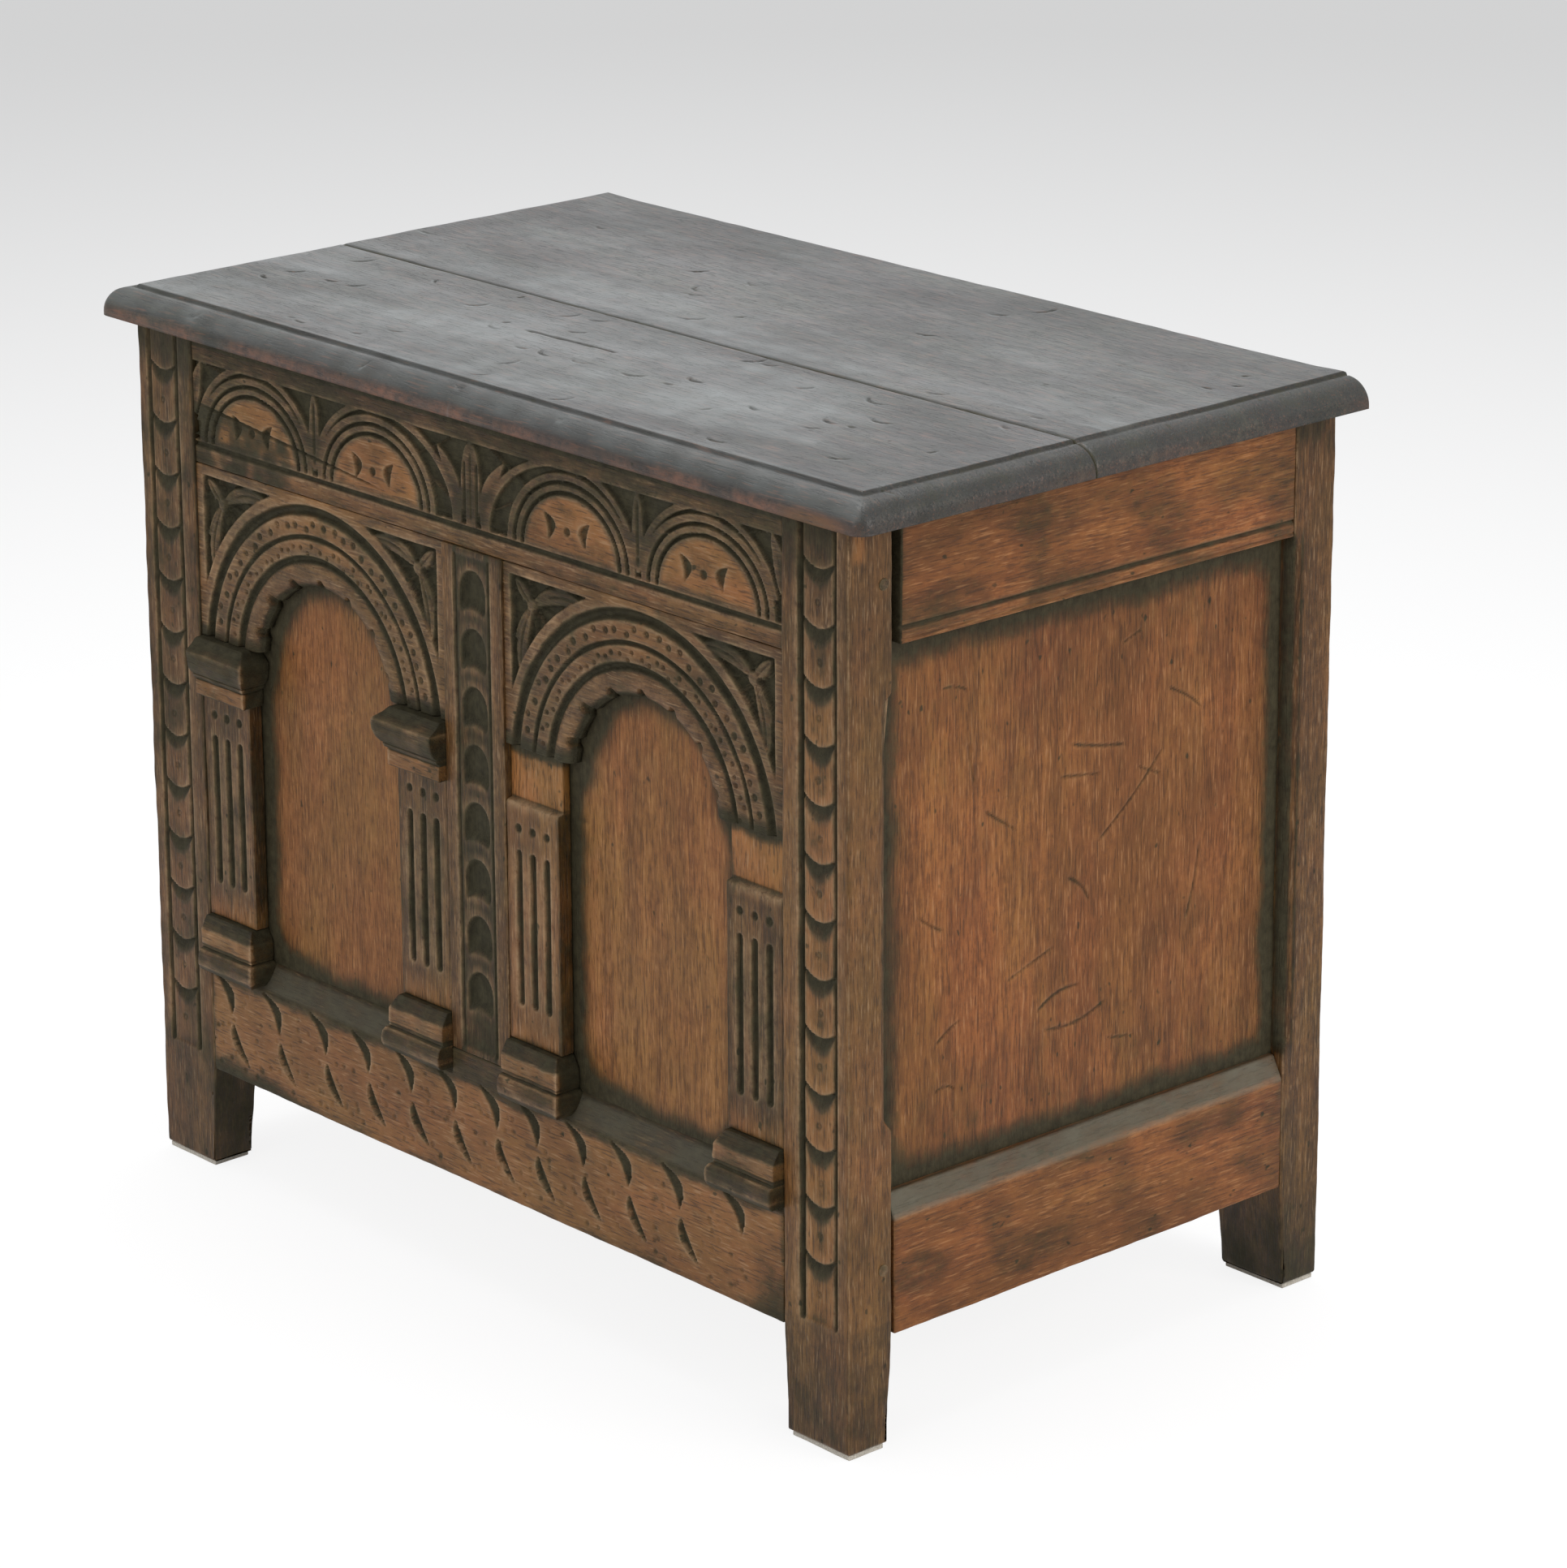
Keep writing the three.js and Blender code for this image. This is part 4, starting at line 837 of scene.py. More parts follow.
def crescents_soot(x, z, dirt_and_shade):
    on_sill = (z > sill_foot) & (np.abs(x) > muntin_half)
    in_cut = ease((crescents_cut(x, z) - 0.35) / 0.6)
    low_edge = 0.3 * ease(1 - (z - low[2]) / 9)
    top_edge = 0.5 * ease((z - crescent_top + 3 - 3 * ripple(np.stack([x, z], -1), 60, 8)) / 5)
    left = 0.7 * ease(1.1 - np.hypot((x + inner_x) / 115, (z - low[2]) / 20))
    right = 0.6 * ease(1.1 - np.hypot((x - inner_x) / 42, (z - low[2]) / 60))
    stained = np.maximum(dirt_and_shade, in_cut) + low_edge + top_edge + left + right
    return np.where(on_sill, 0.6, np.clip(stained, 0, 1))


crescents = Carving(crescents_cut, (low[0], high[0]), (low[2], high[2]), crescents_soot)


def sill_dirt(x, y, z):
    panel_foot = ease((z - panel_z[0] + 3) / 3) * 0.8
    ends = ease(1 - (inner_x - np.abs(x)) / 6) * 0.4
    return np.maximum(panel_foot, ends)


def rail_gold(x, y, z):
    return ease((sill_foot - z) / 3) * 0.65


def sill_dust(x, y, z):
    in_bay = ease((np.abs(x) - muntin_half) / 2)
    return 0.4 * ease((z - sill_foot) / 3) * in_bay * ease((panel_z[0] - 1 - z) / 3)


board("front_bottom_rail", low, high, brown_oak["x"], step=(1.0, 6, 0.9), carving=crescents,
      darkness=sill_dirt, polish=rail_gold, dust_and_sheen=sill_dust, arris=1.4)
print(2 * len(CRESCENT_TURNS) - 1, "crescents run along the bottom rail")


# %% [markdown]
# ## Muntin
# A column of hollows with round heads, scooped with a wide gouge. The head is cut steeply and the
# hollow runs out below, where the next rounded lip stands up in front of it. Old wax and painted shade
# darken each hollow, most towards its head.

# %% Muntin
HOLLOW_PITCH = 35.2
HOLLOW_BELOW_RAIL = 14.0
HOLLOW_WIDTH = 23.5
HOLLOW_HEIGHT = 27.5
HOLLOW_DEPTH = 4.4
LIP_BOW = 3.5
MUNTIN_CHANNEL = 29.0
hollow_heads = np.arange(panel_z[1] - HOLLOW_BELOW_RAIL, panel_z[0] + HOLLOW_HEIGHT - 4, -HOLLOW_PITCH)


def hollow_shape(x, z, head):
    """The ways in from a hollow's round head and from the lip under it."""
    half = HOLLOW_WIDTH / 2
    arch = half - np.hypot(x, np.maximum(z - head + half, 0) * 0.85)
    lip = head - HOLLOW_HEIGHT + LIP_BOW * np.clip(1 - (x / half) ** 2, -0.6, 1)
    return arch, z - lip


def hollows_cut(x, z):
    depth = groove(np.abs(x) - MUNTIN_CHANNEL / 2 - 0.8, 3.0, 3.2)
    depth = depth + 0.8 * standing(np.abs(x) - MUNTIN_CHANNEL / 2, 1.0)
    within = ease((z - panel_z[0] - 3) / 3) * ease((panel_z[1] - 3 - z) / 3)
    for head in hollow_heads:
        arch, above_lip = hollow_shape(x, z, head)
        scooped = HOLLOW_DEPTH * ease(arch / 4.0 + 0.25) * ease(above_lip / 9.0 + 0.05)
        depth = np.maximum(depth, scooped)
    return depth * within


def hollows_soot_and_shade(x, z, dirt_and_shade):
    in_channel = ease((MUNTIN_CHANNEL / 2 + 2 - np.abs(x)) / 2)
    in_groove = 0.7 * ease(1 - np.abs(np.abs(x) - MUNTIN_CHANNEL / 2 - 0.3) / 2.2)
    dirt_and_shade = np.maximum(dirt_and_shade, in_groove) + 0.26 * in_channel
    for head in hollow_heads:
        arch, above_lip = hollow_shape(x, z, head)
        # Old wax and painted shade in each hollow, darker towards its head
        hollow = ease(arch / 3.0 + 0.4) * ease(above_lip / 3)
        dirt_and_shade = np.maximum(dirt_and_shade, hollow * (0.45 + 0.5 * ease(above_lip / 12)))
    return np.clip(dirt_and_shade + 0.07, 0, 1)


low, high = limits("front_muntin")
low[2], high[2] = panel_z
hollows = Carving(hollows_cut, (low[0], high[0]), panel_z, hollows_soot_and_shade, age=0.1)
board("front_muntin", low, high, brown_oak["z"], step=(0.9, 6, 1.0), arris=1.2, carving=hollows,
      darkness=lambda x, y, z: ease(1 - (panel_z[1] - z) / 14) * 0.3)
print("muntin", len(pieces["front_muntin"].data.polygons), "faces")


# %% [markdown]
# ## Arches
# An arch board closes the head of each bay. Its bands follow the arch, so the grid is bent round it
# too: the short way of the grid runs out from the arch's edge to the board's square outline. A square
# grid would leave steps along the curve.

# %% Arch carving
ARCH_RADIUS = 63.0
ARCH_CENTRE_BELOW_BOARD = 9.3
ROLL_RADIUS = 72.0
# Radius, width and depth of the grooves between the bands
ARCH_GROOVES = ((80.4, 5.4, 3.6), (94.2, 3.2, 2.6), (110.6, 7.4, 4.0))
# Radius, first angle, step, size and depth of the two rows of punches
PUNCH_ROWS = ((101.5, 11, 5.4, 2.2, 1.0), (87.0, 9, 4.2, 1.5, 0.9))
SPANDREL_RADIUS = 121.0
SPANDREL_MARGIN = 7.0
SPANDREL_GROUND = 4.6
NICKS = 7
NICK_DEPTH = 3.2
arch_centre_z = limits("right_arch")[0][2] - ARCH_CENTRE_BELOW_BOARD


def arch_cut(x, z):
    away = np.hypot(x, z - arch_centre_z)
    roll = 1.6 * np.clip(np.abs(away - ROLL_RADIUS) / 6.5, 0, 1.4) ** 2.2
    depth = np.where(away > ROLL_RADIUS + 6.5, 0.0, roll)
    for radius, width, deep in ARCH_GROOVES:
        depth = np.maximum(depth, groove(away - radius, width * 1.15, deep))
    beside = np.abs(x)
    inside = np.minimum(away - SPANDREL_RADIUS, bay_half - SPANDREL_MARGIN - beside)
    inside = np.minimum(inside, panel_z[1] - SPANDREL_MARGIN - z)
    ground = SPANDREL_GROUND * ease(inside / 1.6 + 0.3)
    corner = (bay_half - SPANDREL_MARGIN - 4, panel_z[1] - SPANDREL_MARGIN - 3)
    bud = (corner[0] - 14, corner[1] - 12)
    leaves = (
        (bud, (bud[0] - 46, bud[1] + 9), 9, 5),
        (bud, (bud[0] + 9, bud[1] - 50), 9, -5),
        (bud, (corner[0] + 1, corner[1] + 1), 7, 0),
        ((bud[0] - 2, bud[1] + 3), (bud[0] - 20, corner[1] + 1), 5, 0),
        ((bud[0] + 3, bud[1] - 2), (corner[0] + 1, bud[1] - 22), 5, 0),
    )
    for start, end, width, bow in leaves:
        back, edge = leaf_depth(beside, z, start, end, width, bow)
        ground = np.minimum(ground, back + (SPANDREL_GROUND - back) * standing(edge, 1.2))
    round_bud = 3.4 - np.hypot(beside - bud[0], z - bud[1])
    ground = np.minimum(ground, 0.2 + 4.4 * standing(round_bud, 1.0))
    depth = np.maximum(depth, np.where(inside > -0.5, ground, 0))
    rng = np.random.default_rng(7)
    for middle, first, step, size, deep in PUNCH_ROWS:
        turns = np.radians(np.arange(first, 180 - first, step))
        turns = turns + rng.normal(0, 0.014, len(turns))
        radii = middle + rng.uniform(-3, 3, len(turns))
        centres = np.stack([radii * np.cos(turns), arch_centre_z + radii * np.sin(turns)], -1)
        depth = depth + punched(x, z, centres, size, deep)
    return depth


def arch_soot(x, z, dirt_and_shade):
    """The grooves and the spandrels are black with wax; the bands between them are rubbed."""
    away = np.hypot(x, z - arch_centre_z)
    for radius, width, deep in ARCH_GROOVES:
        dirt_and_shade = np.maximum(dirt_and_shade, 0.85 * ease(1.5 - 2.3 * np.abs(away - radius) / width))
    spandrel = ease((away - SPANDREL_RADIUS) / 2) * ease((bay_half - SPANDREL_MARGIN - np.abs(x)) / 1.5)
    spandrel = spandrel * ease((panel_z[1] - SPANDREL_MARGIN - z) / 1.5)
    soffit = 0.5 * ease((67.5 - away) / 5)
    return np.clip(np.maximum(dirt_and_shade, soffit) + 0.08 + 0.3 * spandrel, 0, 1)


print("the arches are struck from", round(arch_centre_z), "mm above the floor")


# %% Arch boards
def arch_board(side):
    low, high = limits(f"{side}_arch")
    middle = (low[0] + high[0]) / 2
    half, bottom, top = (high[0] - low[0]) / 2, low[2], high[2]
    spring = math.asin((bottom - arch_centre_z) / ARCH_RADIUS)
    foot = math.atan2(bottom - arch_centre_z, half)
    along = np.linspace(0, 1, 421)
    outward = np.concatenate([[0, 0.006, 0.016], np.linspace(0.03, 1, 84)])
    grid, faces = grid_box(along, np.array([0, 0.08, 0.3, 1.0]), outward, ((1, -1),))
    t, w, r = grid.T
    angle = spring + (math.pi - 2 * spring) * t
    nick = ease(1.3 - np.abs((t * NICKS) % 1 - 0.5) / 0.13)
    radius = ARCH_RADIUS + NICK_DEPTH * nick
    inner_z = np.maximum(radius * np.sin(angle) + arch_centre_z, bottom)
    inner = np.stack([radius * np.cos(angle), inner_z], -1)
    turn = foot + (math.pi - 2 * foot) * t
    to_side = half / np.maximum(np.abs(np.cos(turn)), 1e-9)
    to_top = (top - arch_centre_z) / np.maximum(np.sin(turn), 1e-9)
    reach = np.minimum(to_side, to_top)
    outer = np.stack([reach * np.cos(turn), arch_centre_z + reach * np.sin(turn)], -1)
    flat = inner + (outer - inner) * r[:, None]
    flat[:, 1] = np.where((t == 0) | (t == 1), bottom, flat[:, 1])
    carving = Carving(arch_cut, (-half, half), (bottom, top), arch_soot, age=0.06)
    thickness = high[1] - low[1]
    seed = next_board()
    sink = 0.2 + arch_cut(flat[:, 0], flat[:, 1]) + 0.15 * ripple(grid * 90, 60, seed)
    sink = np.clip(sink + 1.6 * ease(1 - r * 34) + 4 * nick * ease(1.4 - r * 22), 0, thickness - 1)
    points = np.stack([middle + flat[:, 0], low[1] + sink + w * (thickness - sink), flat[:, 1]], -1)
    dirt_and_shade = np.maximum(carving.read(carving.dirt_and_shade, *flat.T), ease(1 - (flat[:, 1] - bottom) / 13) * 0.85)
    dirt_and_shade = np.maximum(dirt_and_shade, 0.9 * nick * ease(1.2 - r / 0.05)) + (0.06 if side == "right" else 0)
    wear = carving.read(carving.wear, *flat.T) * ease(1 - w * 6)
    crown = ease(1 - np.abs(flat[:, 0]) / 75) * ease((np.hypot(*(flat - [0, arch_centre_z]).T) - 84) / 6)
    marks = {"dirt_and_shade": dirt_and_shade, "wear": wear, "polish": 0.6 * crown, "board": GRAIN_PER_BOARD * seed}
    return make_piece(f"{side}_arch", points, faces, marks, brown_oak["x"])


for side in ("left", "right"):
    arch_board(side)
print("arch board", len(pieces["left_arch"].data.polygons), "faces")


# %% [markdown]
# ## Pilasters
# Each pilaster is a flat board with three flutes and three drilled eyes over them. Over its shaft the
# seat for the capital is set back; in the right bay the capitals are gone and the seats show as raw,
# orange wood that wax never reached.

# %% Pilasters
FLUTE_PITCH = 12.5
FLUTE_WIDTH = 6.0
FLUTE_DEPTH = 3.4
FLUTE_ABOVE_BASE = 22.0
FLUTE_BELOW_TOP = 29.0
EYE_BELOW_TOP = 16.0
EYE_RADIUS = 2.1
EYE_DEPTH = 2.0
SEAT_HEIGHT = 33.0
SEAT_SET_BACK = 4.2


def pilaster(node, bare_seat, rubbed_clean):
    low, high = limits(node)
    middle, shaft_top = (low[0] + high[0]) / 2, high[2] - SEAT_HEIGHT
    flute_z = (low[2] + FLUTE_ABOVE_BASE, shaft_top - FLUTE_BELOW_TOP)

    def cut(x, z):
        depth = np.zeros_like(x)
        for i in (-1, 0, 1):
            line = middle + i * FLUTE_PITCH
            beyond = np.maximum(flute_z[0] + 3 - z, z - flute_z[1] + 3)
            away = np.hypot(x - line, np.maximum(beyond, 0))
            depth = np.maximum(depth, FLUTE_DEPTH * ease(1.6 - 3.2 * away / FLUTE_WIDTH))
            eye = np.hypot(x - line, z - shaft_top + EYE_BELOW_TOP)
            depth = np.maximum(depth, EYE_DEPTH * ease(1.5 - eye / EYE_RADIUS))
        worn_end = 0.8 * ease(1 - (shaft_top - z) / 2.5)
        return np.where(z > shaft_top, SEAT_SET_BACK, np.maximum(depth, worn_end))

    def dark_correction(x, z, dirt_and_shade):
        fluted = ease((shaft_top - 5 - z) / 3) * ease((z - flute_z[0] + 8) / 8)
        dirt_and_shade = dirt_and_shade + (0.0 if rubbed_clean else 0.12) + 0.16 * fluted * ease(1 - np.abs(x - middle) / 24)
        return np.clip(np.where(z > shaft_top + 0.5, 0.05, dirt_and_shade), 0, 1)

    def darkness(x, y, z):
        end = ease(1 - (high[2] - z) / 9) * 0.9
        sides = np.where(z > shaft_top, 0.3, 0.45) * ease((np.abs(x - middle) - 19) / 5)
        foot = ease(1 - (z - low[2]) / 6) * 0.4
        ledge = ease(1 - np.abs(z - shaft_top - 1) / 1.6) * 0.5
        return np.maximum.reduce([end, sides, foot, ledge])

    def gold(x, y, z):
        seat = np.where(z > shaft_top + 1, 1.0, 0.0) if bare_seat else 0.0
        shaft = 0.3 if rubbed_clean else 0.0
        return np.maximum(seat, np.maximum(shaft, 0.7 * ease(1 - (z - low[2]) / 22)))

    carving = Carving(cut, (low[0], high[0]), (low[2], high[2]), dark_correction, age=0.05)
    board(node, low, high, brown_oak["z"], step=(0.9, 4, 1.0), arris=0.9, carving=carving, darkness=darkness,
          polish=gold)


for bay in ("left", "right"):
    for hand in ("left", "right"):
        bare = bay == "right"
        pilaster(f"{bay}_arch_{hand}_pilaster", bare_seat=bare, rubbed_clean=bare and hand == "left")
print("pilaster", len(pieces["left_arch_left_pilaster"].data.polygons), "faces")


# %% [markdown]
# ## Worn copies
# Pegs and hinge leaves are small pieces whose CAD shape is already right; what they lack is wear. A copy
# of the CAD mesh is merged, its edges are bevelled and its corners marked: outer edges as rubbed, inner
# ones as dirty.

# %% Worn copies
def worn_copy(node, material, round_by, grime):
    mesh = frame["nodes"][node].data.copy()
    shaped = bmesh.new()
    shaped.from_mesh(mesh)
    bmesh.ops.remove_doubles(shaped, verts=shaped.verts, dist=1e-6)
    bmesh.ops.dissolve_limit(shaped, angle_limit=math.radians(3), verts=shaped.verts, edges=shaped.edges)
    sharp = [edge for edge in shaped.edges if len(edge.link_faces) == 2 and edge.calc_face_angle(0) > 0.35]
    bmesh.ops.bevel(shaped, geom=sharp, offset=round_by * MM, segments=3, profile=0.5, affect="EDGES",
                    clamp_overlap=True)
    shaped.normal_update()
    seed = next_board()
    keys = {name: shaped.verts.layers.float.new(name) for name in ("dirt_and_shade", "wear", "board")}
    for vert in shaped.verts:
        bends = [edge.calc_face_angle_signed(0) for edge in vert.link_edges if len(edge.link_faces) == 2]
        vert[keys["wear"]] = min(1, max([0, *bends]) * 2.2)
        vert[keys["dirt_and_shade"]] = min(1, max([0, *[-bend for bend in bends]]) * 1.2 + grime)
        vert[keys["board"]] = GRAIN_PER_BOARD * seed
    for face in shaped.faces:
        face.smooth = True
    shaped.to_mesh(mesh)
    shaped.free()
    mesh.materials.clear()
    mesh.materials.append(material)
    return dress(node, mesh)


# %% [markdown]
# ## Bases and capitals
# Each base is a square block with a sloped top over a fat round, and each capital a flat neck under a
# grey, heavy moulding. The moulding runs along the front and returns round the inner end. The block's
# grid is fine in height, and each of its levels is drawn in by the profile, so that the mitre makes
# itself. The same list says where old wax and painted shade lie and where wood was left golden; the
# capital's dark top is old wax and the painted shadow of the arch board above it.

# %% Moulded blocks
# Height, how far it stands out, dirt and painted shade, wear and polish
CAPITAL_PROFILE = (
    (0, 5, 0.6, 0, 0), (1.2, 5.2, 0.15, 0.1, 0.6), (9.4, 5.2, 0.1, 0.1, 0.6), (10.4, 4.6, 0.85, 0, 0),
    (11.6, 6.6, 0.6, 0, 0), (13.4, 7.4, 0.45, 0.3, 0), (14.2, 7.0, 0.85, 0, 0), (15.4, 8.6, 0.6, 0.1, 0),
    (18, 10.3, 0.62, 0.15, 0), (22, 11.6, 0.55, 0.2, 0), (26, 12, 0.55, 0.2, 0), (29, 11.9, 0.35, 0.8, 0),
    # The top rows are dark with old wax and the painted shadow of the arch board above
    (30, 11, 0.5, 0.3, 0), (33, 7, 0.8, 0, 0), (36.5, 4, 0.95, 0, 0),
)
BASE_PROFILE = (
    (0, 8.6, 0.8, 0, 0), (2.6, 10.3, 0.65, 0, 0), (4.5, 10.9, 0.3, 0.6, 0), (8, 11, 0.48, 0.1, 0),
    (12, 10.4, 0.48, 0.2, 0), (14, 9.2, 0.28, 0.7, 0), (14.9, 6.6, 0.92, 0, 0), (15.8, 7.4, 0.5, 0.3, 0),
    (17.2, 7.2, 0.62, 0, 0), (18.2, 7.6, 0.25, 0.2, 0.3), (26, 7.6, 0.15, 0.2, 0.45),
    (27.2, 7.3, 0.35, 0.6, 0.1), (28.5, 6.6, 0.62, 0.1, 0), (35, 3, 0.72, 0, 0),
)
MOULDED_ARRIS = 0.9


def moulded(node, inner, profile):
    low, high = limits(node)
    heights, out, *layers = np.array(profile).T
    levels = np.unique(np.concatenate([np.arange(0, heights[-1], 0.5), heights]))
    spans = [stations(low[axis], high[axis], 2.5, MOULDED_ARRIS) for axis in (0, 1)]
    grid, faces = grid_box(*spans, low[2] + levels * (high[2] - low[2]) / heights[-1])
    seed = next_board()
    points, worn = rubbed(grid, low, high, MOULDED_ARRIS, seed)
    level = grid[:, 2] - low[2]
    set_back = out.max() - np.interp(level, heights, out)
    set_back = set_back + 0.25 * (1 + ripple(grid, 14, seed))
    far = low[0] if inner > 0 else high[0]
    points[:, 0] -= inner * set_back * np.abs(points[:, 0] - far) / (high[0] - low[0])
    points[:, 1] += set_back * (high[1] - points[:, 1]) / (high[1] - low[1])
    dirt_and_shade, wear, polish = [np.interp(level, heights, layer) for layer in layers]
    end = low[0] + high[0] - far
    at_corner = ease(1 - np.hypot(grid[:, 0] - end, grid[:, 1] - low[1]) / 3.0)
    on_end = ease(1 - np.abs(grid[:, 0] - end) / 1.5) * ease((grid[:, 1] - low[1] - 1.5) / 3)
    marks = {"dirt_and_shade": np.clip(np.maximum(dirt_and_shade, 0.75 * on_end) - 0.3 * at_corner, 0, 1), "polish": polish,
             "wear": np.clip(wear + 0.9 * at_corner * (dirt_and_shade < 0.6), 0, 1), "board": GRAIN_PER_BOARD * seed}
    return make_piece(node, points, faces, marks, brown_oak["x"])


for hand, inner in (("left", 1), ("right", -1)):
    for bay in ("left", "right"):
        moulded(f"{bay}_arch_{hand}_base", inner, BASE_PROFILE)
    moulded(f"left_arch_{hand}_capital", inner, CAPITAL_PROFILE)
print(len(pieces), "pieces so far")


# %% [markdown]
# ## Front panels
# The panel behind each arch is plain oak, golden where it was polished and black along its edges,
# where a cloth never reached. The stain follows the opening: the arch above, the pilasters at the
# sides and the sill below, with two rounded corners. On the left of each opening the border is wider,
# as painted shadow.

# %% Front panels
pilaster_low, pilaster_high = limits("left_arch_left_pilaster")
opening_half = bay_half - (pilaster_high[0] - pilaster_low[0])
STAIN_WIDTH = 18.0
STAIN_CORNER = 30.0
CAPITAL_MARK_Z = 318.0


def front_panel(side, way):
    low, high = limits(f"front_{side}_panel")
    middle = way * bay_centre

    def darkness(x, y, z):
        across = np.abs(x - middle)
        # Painted shadow: the dark border is wider on the left of the opening
        left_shadow = 5 * ease((middle - x) / 50)
        rise = ease((z - arch_centre_z + 22) / 32)
        half = opening_half + (ARCH_RADIUS - opening_half) * rise
        head = half - np.hypot(across, np.maximum(z - arch_centre_z, 0))
        corner_x = np.maximum(across - (opening_half - STAIN_CORNER), 0)
        corner_z = np.maximum(panel_z[0] + STAIN_CORNER - z, 0)
        inside = np.minimum(head, STAIN_CORNER - np.hypot(corner_x, corner_z))
        uneven = 1.3 * ripple(np.stack([x, z], -1), 30, 5 + way)
        border = np.clip(1 - (inside - left_shadow + uneven) / STAIN_WIDTH, 0, 1) ** 1.7
        smear = np.hypot((x - middle + opening_half - 8) / 11, (z - CAPITAL_MARK_Z) / 3.2)
        dark = np.maximum(border, 0.75 * ease(1.2 - smear) if way > 0 else 0)
        return dark * (y < (low[1] + high[1]) / 2)

    board(f"front_{side}_panel", low, high, golden_oak, step=(2.5, 4, 2.4), arris=1.0, darkness=darkness,
          wander=0.5)


for side, way in (("left", -1), ("right", 1)):
    front_panel(side, way)
print("opening is", round(2 * opening_half, 1), "mm wide")


# %% [markdown]
# ## Sides
# The side is plain joinery: rails, a flat panel with upright grain and a chamfer along the bottom
# rail. Years of use left scratches across the panel and a black border round it. Two scratched lines
# run along the lower edge of the top rail. The top rails' front ends, in the slot by the stile, are
# painted dark as shade, and the chamfer is a paler grey of dust and a painted highlight.

# %% Side boards
# Start, end, width and bow of each scratch
SCRATCHES = (
    ((11, 315), (66, 363), 1.2, 2), ((-12, 380), (36, 370), 1.6, 1), ((-19, 362), (15, 357), 1.0, 0),
    ((43, 355), (63, 346), 1.0, 0), ((66, 397), (98, 377), 1.0, -2), ((30, 430), (47, 436), 1.0, 0),
    ((-111, 433), (-89, 428), 1.1, -2), ((-78, 356), (-51, 338), 1.0, 0), ((-12, 301), (7, 282), 1.3, -3),
    ((-36, 225), (1, 234), 1.5, -4), ((-32, 214), (22, 220), 1.6, 5), ((-114, 226), (-95, 237), 1.4, -1),
    ((-115, 198), (-98, 196), 1.3, -3), ((-128, 306), (-107, 292), 1.3, 1), ((20, 196), (44, 192), 1.0, 0),
    ((-60, 250), (-20, 262), 0.9, 0), ((84, 250), (96, 300), 0.9, 2), ((-90, 400), (-84, 372), 1.0, 1),
)
SIDE_LINE_HEIGHT = 9.5
CHAMFER_HEIGHT = 14.0
CHAMFER_DEPTH = 7.0
PANEL_CORNER = 34.0
side_panel_z = (limits("right_bottom_rail")[1][2], limits("right_top_rail")[0][2])
panel_core = sum(corner[0] for corner in limits("right_panel")) / 2
TOP_SHOULDER_GAP = 6.0
BOTTOM_SHOULDER_GAP = 2.0
LEFT_SHOULDER_GAP = 1.0
SEEN_PANEL_STEP = 1.2
UNSEEN_PANEL_STEP = 1.7


def side_panel_cut(y, z):
    depth = np.zeros_like(y)
    for start, end, width, bow in SCRATCHES:
        depth = np.maximum(depth, scratch(y, z, start, end, width + 1.2, 0.7, bow))
    return depth


def side_panel_soot(y, z, dirt_and_shade):
    return np.clip(0.95 * side_panel_cut(y, z), 0, 0.7)


def side_panel_stain(x, y, z):
    """Black along the top, in the upper corners and at the foot, and narrow at the sides."""
    front, rear = y - inner_front, inner_back - y
    above, below = side_panel_z[1] - z, z - side_panel_z[0]
    uneven = 2.0 * ripple(np.stack([y, z], -1), 70, 9)

    def border(inside, width):
        return np.clip(1 - (inside + uneven) / width, 0, 1) ** 1.6

    corners = PANEL_CORNER - np.hypot(PANEL_CORNER - np.minimum(rear, PANEL_CORNER),
                                      PANEL_CORNER - np.minimum(above, PANEL_CORNER) * 0.8)
    low_corner = PANEL_CORNER - np.hypot(PANEL_CORNER - np.minimum(front, PANEL_CORNER),
                                         PANEL_CORNER - np.minimum(below, PANEL_CORNER) * 0.8)
    broad = 0.24 * np.maximum(ease(1 - above / 130), ease(1 - below / 110))
    dark = np.maximum.reduce([border(above - 5, 26), border(front - 1, 15), border(rear - 6, 15), broad,
                              border(below - 4, 22), border(corners, 22), border(low_corner, 24)])
    return dark * (np.abs(x) > panel_core)


def lines_cut(y, z):
    above = z - side_panel_z[1]
    return groove(above - 2.4, 1.6, 0.8) + groove(above - SIDE_LINE_HEIGHT, 3.0, 1.8)


def chamfer_cut(y, z):
    return CHAMFER_DEPTH * np.clip((z - side_panel_z[0] + CHAMFER_HEIGHT) / CHAMFER_HEIGHT, 0, 1)


def chamfer_soot(y, z, dirt_and_shade):
    return 0.55 * ease((z - side_panel_z[0] + CHAMFER_HEIGHT - 1) / 2)


def chamfer_dust_and_highlight(x, y, z):
    # Paler grey on the upward chamfer: dust and a painted highlight
    from_top = side_panel_z[0] - z
    return 0.85 * ease((CHAMFER_HEIGHT + 2 - from_top) / 3) * ease(from_top / 2 + 0.3)


